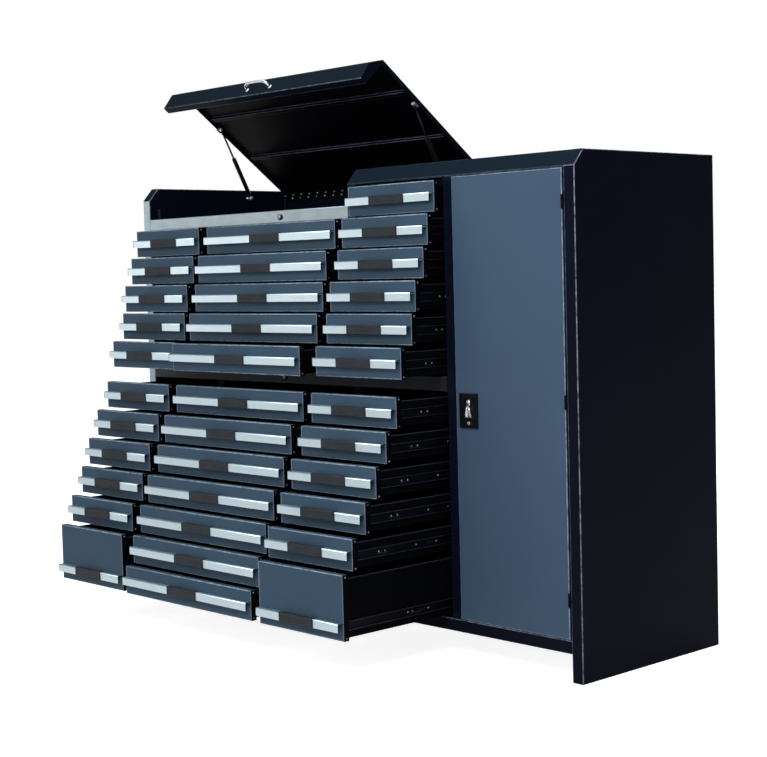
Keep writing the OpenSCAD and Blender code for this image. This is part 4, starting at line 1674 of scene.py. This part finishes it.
            profile = [
                (0, 0.0), (2.6, 0.2), (4.6, 2.0), (4.9, 4.0), (3.2, 6.6), (3.0, near + 0.2),
                (0, near + 0.2),
            ]
            shape.turned(
                [(r, side * a) for r, a in profile],
                Vector((sx, sy, sz)), Axis.X, Finish.CHROME, 18,
            )
        return shape

    def fixed_leaf(self, shop: Workshop) -> Shape:
        """Fixed hinge leaf with pin, knuckles and screws, wall studs and the lid stop.

        Args:
            shop: materials and trees.

        Returns:
            Its shape.
        """
        shape = Shape()
        hy, hz = self.hinge
        step = self._leaf_length()
        x = (self.x0 + 2, self.x1 - 2)
        shape.slab(x, (hy + 2.3, hy + 3.8), (hz - 18, hz - 3), Finish.TRAY)
        rows = shop.knuckles.grow(
            shop.palette.get(Finish.TRAY), Count=self.hinge_parts // 2 + 1, Radius=2.6, Length=step - 0.6,
            **{"Step X": step * 2},
        )
        shape.absorb(rows, Finish.TRAY, Vector((self.x0 + 2.3, hy, hz)))
        for k in range(self.hinge_parts // 2 + 1):
            a = self.x0 + 2.3 + 2 * k * step
            shape.slab((a, a + step - 0.6), (hy + 0.9, hy + 3.6), (hz - 4.2, hz - 1.5), Finish.TRAY)
        shape.turned(
            [(0, 0), (1.25, 0), (1.25, x[1] - x[0] - 2), (0, x[1] - x[0] - 2)],
            Vector((x[0] + 1, hy, hz)), Axis.X, Finish.ROD, 10,
        )
        shop.add_screws(shape, (x[0] + 41, hy + 2.2, hz - 7.5), 22, (46.8, 0, 0), Finish.NICKEL, 3.3, 0.5)
        shape.slab((-961.9, -959.6), (36, 44), (1350, 1386), Finish.RAIL)
        wy, wz = self.wall_stud
        for side, sx in zip((-1, 1), self.strut_x):
            wall = -961.9 if side < 0 else 91.9
            reach = abs(wall - sx)
            profile = [
                (0, 0.0), (2.6, 0.2), (4.8, 2.0), (5.1, 4.0), (3.3, 6.8), (3.2, reach - 2.4),
                (6.5, reach - 2.0), (8.6, reach - 1.2), (8.6, reach), (0, reach),
            ]
            shape.turned(
                [(r, side * a) for r, a in profile],
                Vector((sx, wy, wz)), Axis.X, Finish.CHROME, 20,
            )
        return shape

    def strut(self, side: str, x: float, palette: Palette) -> None:
        """Builds the pressure cylinder and the rod of one strut.

        Args:
            side: left or right.
            x: its middle.
            palette: the materials.
        """
        hy, hz = self.hinge
        turn = math.radians(self.opened)
        dy, dz = self.lid_stud[0] - hy, self.lid_stud[1] - hz
        end = Vector((
            0,
            hy + dy * math.cos(turn) + dz * math.sin(turn),
            hz - dy * math.sin(turn) + dz * math.cos(turn),
        ))
        start = Vector((0, *self.wall_stud))
        reach = (end - start).length
        tilt = math.degrees(math.atan2(-(end.y - start.y), end.z - start.z))
        cylinder, rod = Shape(), Shape()
        base = Vector((x, self.wall_stud[0], self.wall_stud[1]))
        cylinder.turned(
            [
                (0, 6), (3.2, 6), (4.0, 9), (4.0, 14), (6.4, 15), (8.0, 17.5), (8.0, 158),
                (7.2, 163), (6.2, 165.4), (3.9, 166), (3.9, 160), (0, 160),
            ],
            base, Axis.Z, Finish.BLACK, 24,
        )
        cylinder.turned(
            [(0, -7.4), (6.6, -7.4), (7.6, -6), (7.6, 6), (6.6, 7.4), (0, 7.4)], base, Axis.X,
            Finish.NICKEL, 20,
        )
        rod.turned(
            [(0, 140), (3.2, 140), (3.4, 142), (3.4, reach - 12), (0, reach - 12)], base, Axis.Z,
            Finish.ROD, 16,
        )
        rod.turned(
            [(0, reach - 20), (4.6, reach - 20), (5.4, reach - 18), (5.4, reach - 2), (0, reach - 2)],
            base, Axis.Z, Finish.BLACK, 16,
        )
        tip = base + Vector((0, 0, reach))
        rod.turned(
            [(0, -6.9), (5.6, -6.9), (6.6, -5.6), (6.6, 5.6), (5.6, 6.9), (0, 6.9)], tip, Axis.X,
            Finish.NICKEL, 20,
        )
        for shape, kind in ((cylinder, "cylinder"), (rod, "rod")):
            shape.turn_about(*self.wall_stud, tilt)
            shape.piece(
                f"{side}_lid_{kind}", f"{side}_{kind}_body", Slot.BODY, palette,
                (f"{side}_strut_{kind}",),
            )


# ---- locker ----


@dataclass
class Locker:
    """Tall door with its latch, locks and hinges."""

    x: Span = (540.0, 955.0)
    z: Span = (119.0, 1409.0)
    thick: float = 20.0
    latch: Point = (593.0, 735.0)
    lock_z: float = 698.0
    hinge: Point = (957.5, -3.6)
    hinge_heights: tuple[float, ...] = (220.0, 764.0, 1308.0)

    def build(self, shop: Workshop) -> None:
        """Builds the door's pieces.

        Args:
            shop: materials and trees.
        """
        palette = shop.palette
        self.door().piece("locker_door_leaf", "door_body", Slot.FRONT, palette, ("locker_door",))
        self.housing().piece("latch_housing", "door_body", Slot.BODY, palette, ("locker_door",))
        self.paddle().piece("latch_lever", "paddle_body", Slot.BRIGHT, palette, ("latch_paddle",))
        self.hinges().piece("locker_hinge_side", "carcass", Slot.BODY, palette, ("locker_hinges",))
        palette.dress("lock_bolt", Finish.ZINC)
        locks = (
            ("door_lock", "door_lock_body", Vector((self.latch[0], 0, self.lock_z)), 8.0, (-6.5, -2.3)),
            ("top_rail_lock", "top_lock_body", Vector((-235, 0, 1326)), 9.0, (-5.0, -0.4)),
            ("mid_rail_lock", "mid_lock_body", Vector((-235, 0, 807)), 9.0, (-5.0, -0.4)),
        )
        for node, body, centre, radius, depths in locks:
            self.key_lock(centre, radius, depths).piece(f"{node}_face", body, Slot.BRIGHT, palette, (node,))

    def door(self) -> Shape:
        """Folded door leaf with its liner and hinge knuckles.

        Returns:
            Its shape.
        """
        shape = Shape()
        # the door takes the lighter copy of the slate coat: painted light
        shape.slab(self.x, (0, self.thick - 0.8), self.z, Finish.DOOR, 2.2, 3)
        shape.slab(
            (self.x[0] + 26, self.x[1] - 26), (self.thick - 1.4, self.thick),
            (self.z[0] + 26, self.z[1] - 26), Finish.DOOR,
        )
        for height in self.hinge_heights:
            shape.turned(
                [(0, 10.3), (2.4, 10.3), (3, 11), (3, 28.6), (2.4, 29.3), (0, 29.3)],
                Vector((self.hinge[0], self.hinge[1], height)), Axis.Z, Finish.NAVY, 16,
            )
            shape.slab(
                (self.x[1] - 18, self.x[1] - 1), (-1.2, 0.2), (height + 11.3, height + 28.3),
                Finish.DOOR,
            )
        return shape

    def housing(self) -> Shape:
        """Black latch housing: raised rim, sunk pan and lock boss.

        Returns:
            Its shape.
        """
        shape = Shape()
        lx, lz = self.latch
        x, z = (lx - 35, lx + 35), (lz - 50, lz + 50)
        shape.slab((x[0] + 2, x[1] - 2), (-2.0, -0.1), (z[0] + 2, z[1] - 2), Finish.BLACK)
        rim = Finish.BLACK
        shape.slab((x[0], x[0] + 4.5), (-6, -0.3), z, rim)
        shape.slab((x[1] - 4.5, x[1]), (-6, -0.3), z, rim)
        shape.slab((x[0] + 3, x[1] - 3), (-6, -0.3), (z[0], z[0] + 4.5), rim)
        shape.slab((x[0] + 3, x[1] - 3), (-6, -0.3), (z[1] - 4.5, z[1]), rim)
        shape.slab((x[0] + 4, x[1] - 4), (-4.6, -1.8), (lz - 27.5, lz - 24.5), rim)
        for side in (-1, 1):
            ear = sorted((lx + side * 16.2, lx + side * 19.4))
            shape.slab((ear[0], ear[1]), (-6.4, -1.8), (lz + 24, lz + 38), rim)
        shape.turned(
            [(0, -3.4), (11, -3.4), (12, -2.8), (12, -1.8), (0, -1.8)],
            Vector((lx, 0, self.lock_z)), Axis.Y, rim, 24,
        )
        return shape

    def paddle(self) -> Shape:
        """Chrome lever: a rounded neck on its pivot, and two fingers that spread below it.

        Returns:
            Its shape.
        """
        shape = Shape()
        lx, lz = self.latch
        neck = [
            Vector((lx, -5.4 - bow, lz + h))
            for h, bow in ((31.5, 0.0), (24, 0.7), (16, 1.0), (7, 0.8), (1, 0.2))
        ]
        shape.tube(neck, 7.6, Finish.POLISHED, 18, 0.4)
        for side in (-1, 1):
            finger = [
                Vector((lx + side * out, -6.0 - bow, lz + h))
                for out, bow, h in ((3.4, 0.0, 10), (5.6, 0.4, 2), (8.0, 0.7, -9), (8.8, 0.3, -20))
            ]
            shape.tube(finger, 3.5, Finish.POLISHED, 14)
        shape.slab((lx - 8, lx + 8), (-5.0, -3.6), (lz - 20, lz + 4), Finish.POLISHED)
        shape.turned(
            [(0, -15.4), (1.6, -15.4), (1.9, -15), (1.9, 15), (1.6, 15.4), (0, 15.4)],
            Vector((lx, -5.2, lz + 31)), Axis.X, Finish.BLACK, 16,
        )
        return shape

    def key_lock(self, centre: Vector, radius: float, depths: Span) -> Shape:
        """Key cylinder with a turned collar and a slot.

        Args:
            centre: its middle on the front plane.
            radius: radius of the collar.
            depths: its front and back depth.

        Returns:
            Its shape.
        """
        shape = Shape()
        front, back = depths
        ring = [
            (0, front + 1.4), (radius * 0.7, front + 1.4), (
                radius * 0.74, front + 0.3,
            ), (radius * 0.92, front + 0.2),
            (radius, front + 1.0), (radius, back), (0, back),
        ]
        shape.turned(ring, centre, Axis.Y, Finish.BLACK, 28)
        core = [
            (0, front), (radius * 0.56, front), (radius * 0.66, front + 0.6),
            (radius * 0.66, front + 1.8), (0, front + 1.8),
        ]
        shape.turned(core, centre, Axis.Y, Finish.NICKEL, 24)
        # the slot is a near-black strip on the core: painted shade of the keyway
        slot = (centre.x - 1.0, centre.x + 1.0)
        shape.slab(
            slot, (front - 0.12, front + 0.3), (centre.z - radius * 0.5, centre.z + radius * 0.5),
            Finish.SLOT,
        )
        return shape

    def hinges(self) -> Shape:
        """Jamb strip with the fixed knuckles and pins.

        Returns:
            Its shape.
        """
        shape = Shape()
        shape.slab((self.x[1] + 2.4, 961.8), (0, 30), (self.z[0] + 1, self.z[1] - 1), Finish.NAVY)
        for height in self.hinge_heights:
            shape.turned(
                [(0, -10), (2.4, -10), (3, -9.4), (3, 9.4), (2.4, 10), (1.4, 10), (1.4, 28), (0, 28)],
                Vector((self.hinge[0], self.hinge[1], height)), Axis.Z, Finish.NAVY, 16,
            )
            shape.slab((self.x[1] + 2.6, 961.6), (-3.0, 0.2), (height - 10, height + 10), Finish.NAVY)
        return shape


# ---- studio ----


@dataclass
class Studio:
    """Pale floor, soft lights and the camera."""

    place: tuple[float, float, float] = (3.80538, -3.43411, 1.14065)
    right: tuple[float, float, float] = (0.6838294526496, 0.7291615780526108, -0.02647022441866363)
    down: tuple[float, float, float] = (0.03011549562604774, -0.06445350144930069, -0.9974661914441624)
    ahead: tuple[float, float, float] = (-0.7290201208554847, 0.681299595804042, -0.06603426493195098)
    lens: float = 75.594
    sensor: float = 36.0
    air_strength: float = 0.18
    floor_half: float = 60.0
    floor_glow: float = 0.90
    lights: list[
        tuple[str, tuple[float, float, float], tuple[float, float, float], float, float, float]
    ] = field(
        default_factory=lambda: [
            ("left_softbox", (-8.4, -5.6, 1.9), (-0.3, 0.0, 1.0), 6.0, 2.6, 66.0),
            ("front_softbox", (2.0, -2.9, 2.8), (0.6, 0.0, 0.8), 1.8, 1.4, 95.0),
            ("far_softbox", (0.6, -8.0, 3.2), (0.2, 0.0, 0.8), 3.0, 2.2, 50.0),
            ("top_softbox", (0.0, -0.6, 5.2), (0.0, 0.0, 0.6), 4.0, 3.0, 40.0),
            ("rear_softbox", (-2.0, 5.5, 2.9), (0.0, 0.0, 0.8), 4.5, 3.0, 240.0),
        ]
    )

    def camera(self) -> None:
        """Sets the camera at the viewing angle."""
        data = bpy.data.cameras.new("view_camera")
        data.sensor_fit = "HORIZONTAL"
        data.sensor_width = self.sensor
        data.lens = self.lens
        data.clip_end = 200.0
        made = bpy.data.objects.new("view_camera", data)
        columns = Matrix((self.right, [-v for v in self.down], [-v for v in self.ahead])).transposed()
        made.matrix_world = Matrix.Translation(self.place) @ columns.to_4x4()
        bpy.context.scene.collection.objects.link(made)
        bpy.context.scene.camera = made

    def world(self) -> None:
        """Even pale surroundings: white to the eye, dimmer as light."""
        made = bpy.data.worlds.new("studio_air")
        made.use_nodes = True
        made.node_tree.nodes.clear()
        w = Wiring(made.node_tree)
        seen = w.node("ShaderNodeBackground")
        seen.inputs["Color"].default_value = (1.0, 1.0, 1.0, 1.0)
        seen.inputs["Strength"].default_value = 1.0
        light = w.node("ShaderNodeBackground")
        light.inputs["Color"].default_value = (0.92, 0.96, 1.0, 1.0)
        light.inputs["Strength"].default_value = self.air_strength
        path = w.node("ShaderNodeLightPath")
        mix = w.node("ShaderNodeMixShader")
        w.feed(mix.inputs[0], path.outputs["Is Camera Ray"])
        made.node_tree.links.new(light.outputs[0], mix.inputs[1])
        made.node_tree.links.new(seen.outputs[0], mix.inputs[2])
        out = w.node("ShaderNodeOutputWorld")
        made.node_tree.links.new(mix.outputs[0], out.inputs[0])
        bpy.context.scene.world = made

    def floor(self) -> None:
        """Large pale floor, white to the eye and faint as light."""
        half = self.floor_half
        data = bpy.data.meshes.new("studio_floor")
        data.from_pydata(
            [(-half, -half, 0), (half, -half, 0), (half, half, 0), (-half, half, 0)], [],
            [(0, 1, 2, 3)],
        )
        made = bpy.data.objects.new("studio_floor", data)
        finish, w, shader = blank("pale_floor", 0.1, 0.0)
        shader.inputs["Roughness"].default_value = 0.9
        place = w.node("ShaderNodeTexCoord").outputs["Object"]
        tone = w.ramp(w.noise(place, 0.8, 3.0), 0.3, 0.7)
        w.feed(shader.inputs["Base Color"], w.mix_colour(tone, (0.72, 0.72, 0.72), (0.69, 0.69, 0.69)))
        path = w.node("ShaderNodeLightPath").outputs["Is Camera Ray"]
        w.feed(shader.inputs["Emission Color"], w.mix_colour(path, (0.05, 0.05, 0.05), (1.0, 1.0, 1.0)))
        shader.inputs["Emission Strength"].default_value = self.floor_glow
        data.materials.append(finish)
        bpy.context.scene.collection.objects.link(made)

    def light(self) -> None:
        """Hangs the softboxes and one wide even light from above."""
        for name, place, target, wide, tall, power in self.lights:
            data = bpy.data.lights.new(name, "AREA")
            data.shape = "RECTANGLE"
            data.size, data.size_y, data.energy = wide, tall, power
            made = bpy.data.objects.new(name, data)
            made.visible_camera = False
            aim = (Vector(target) - Vector(place)).to_track_quat("-Z", "Y")
            made.matrix_world = Matrix.Translation(place) @ aim.to_matrix().to_4x4()
            bpy.context.scene.collection.objects.link(made)
        data = bpy.data.lights.new("even_light", "SUN")
        data.energy, data.angle = 1.0, 1.5
        made = bpy.data.objects.new("even_light", data)
        made.matrix_world = Vector((0.25, 0.45, -1.0)).to_track_quat("-Z", "Y").to_matrix().to_4x4()
        bpy.context.scene.collection.objects.link(made)

    def build(self) -> None:
        """Sets up the whole studio."""
        bpy.context.scene.view_settings.view_transform = "Standard"
        self.camera()
        self.world()
        self.floor()
        self.light()


def drawer_nodes(nodes: Iterable[str]) -> list[str]:
    """Returns the names of the drawer nodes, in order."""
    return sorted(n for n in nodes if "_drawer_" in n)


def main() -> None:
    """Builds the studio, then each sub-assembly."""
    logging.basicConfig(level=logging.INFO, format="%(message)s")
    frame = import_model()
    Studio().build()
    shop = workshop()
    Carcass().build(shop)
    Lid().build(shop)
    Locker().build(shop)
    for node in drawer_nodes(frame["nodes"]):
        Drawer(node).build(shop)


if __name__ == "__main__":
    main()
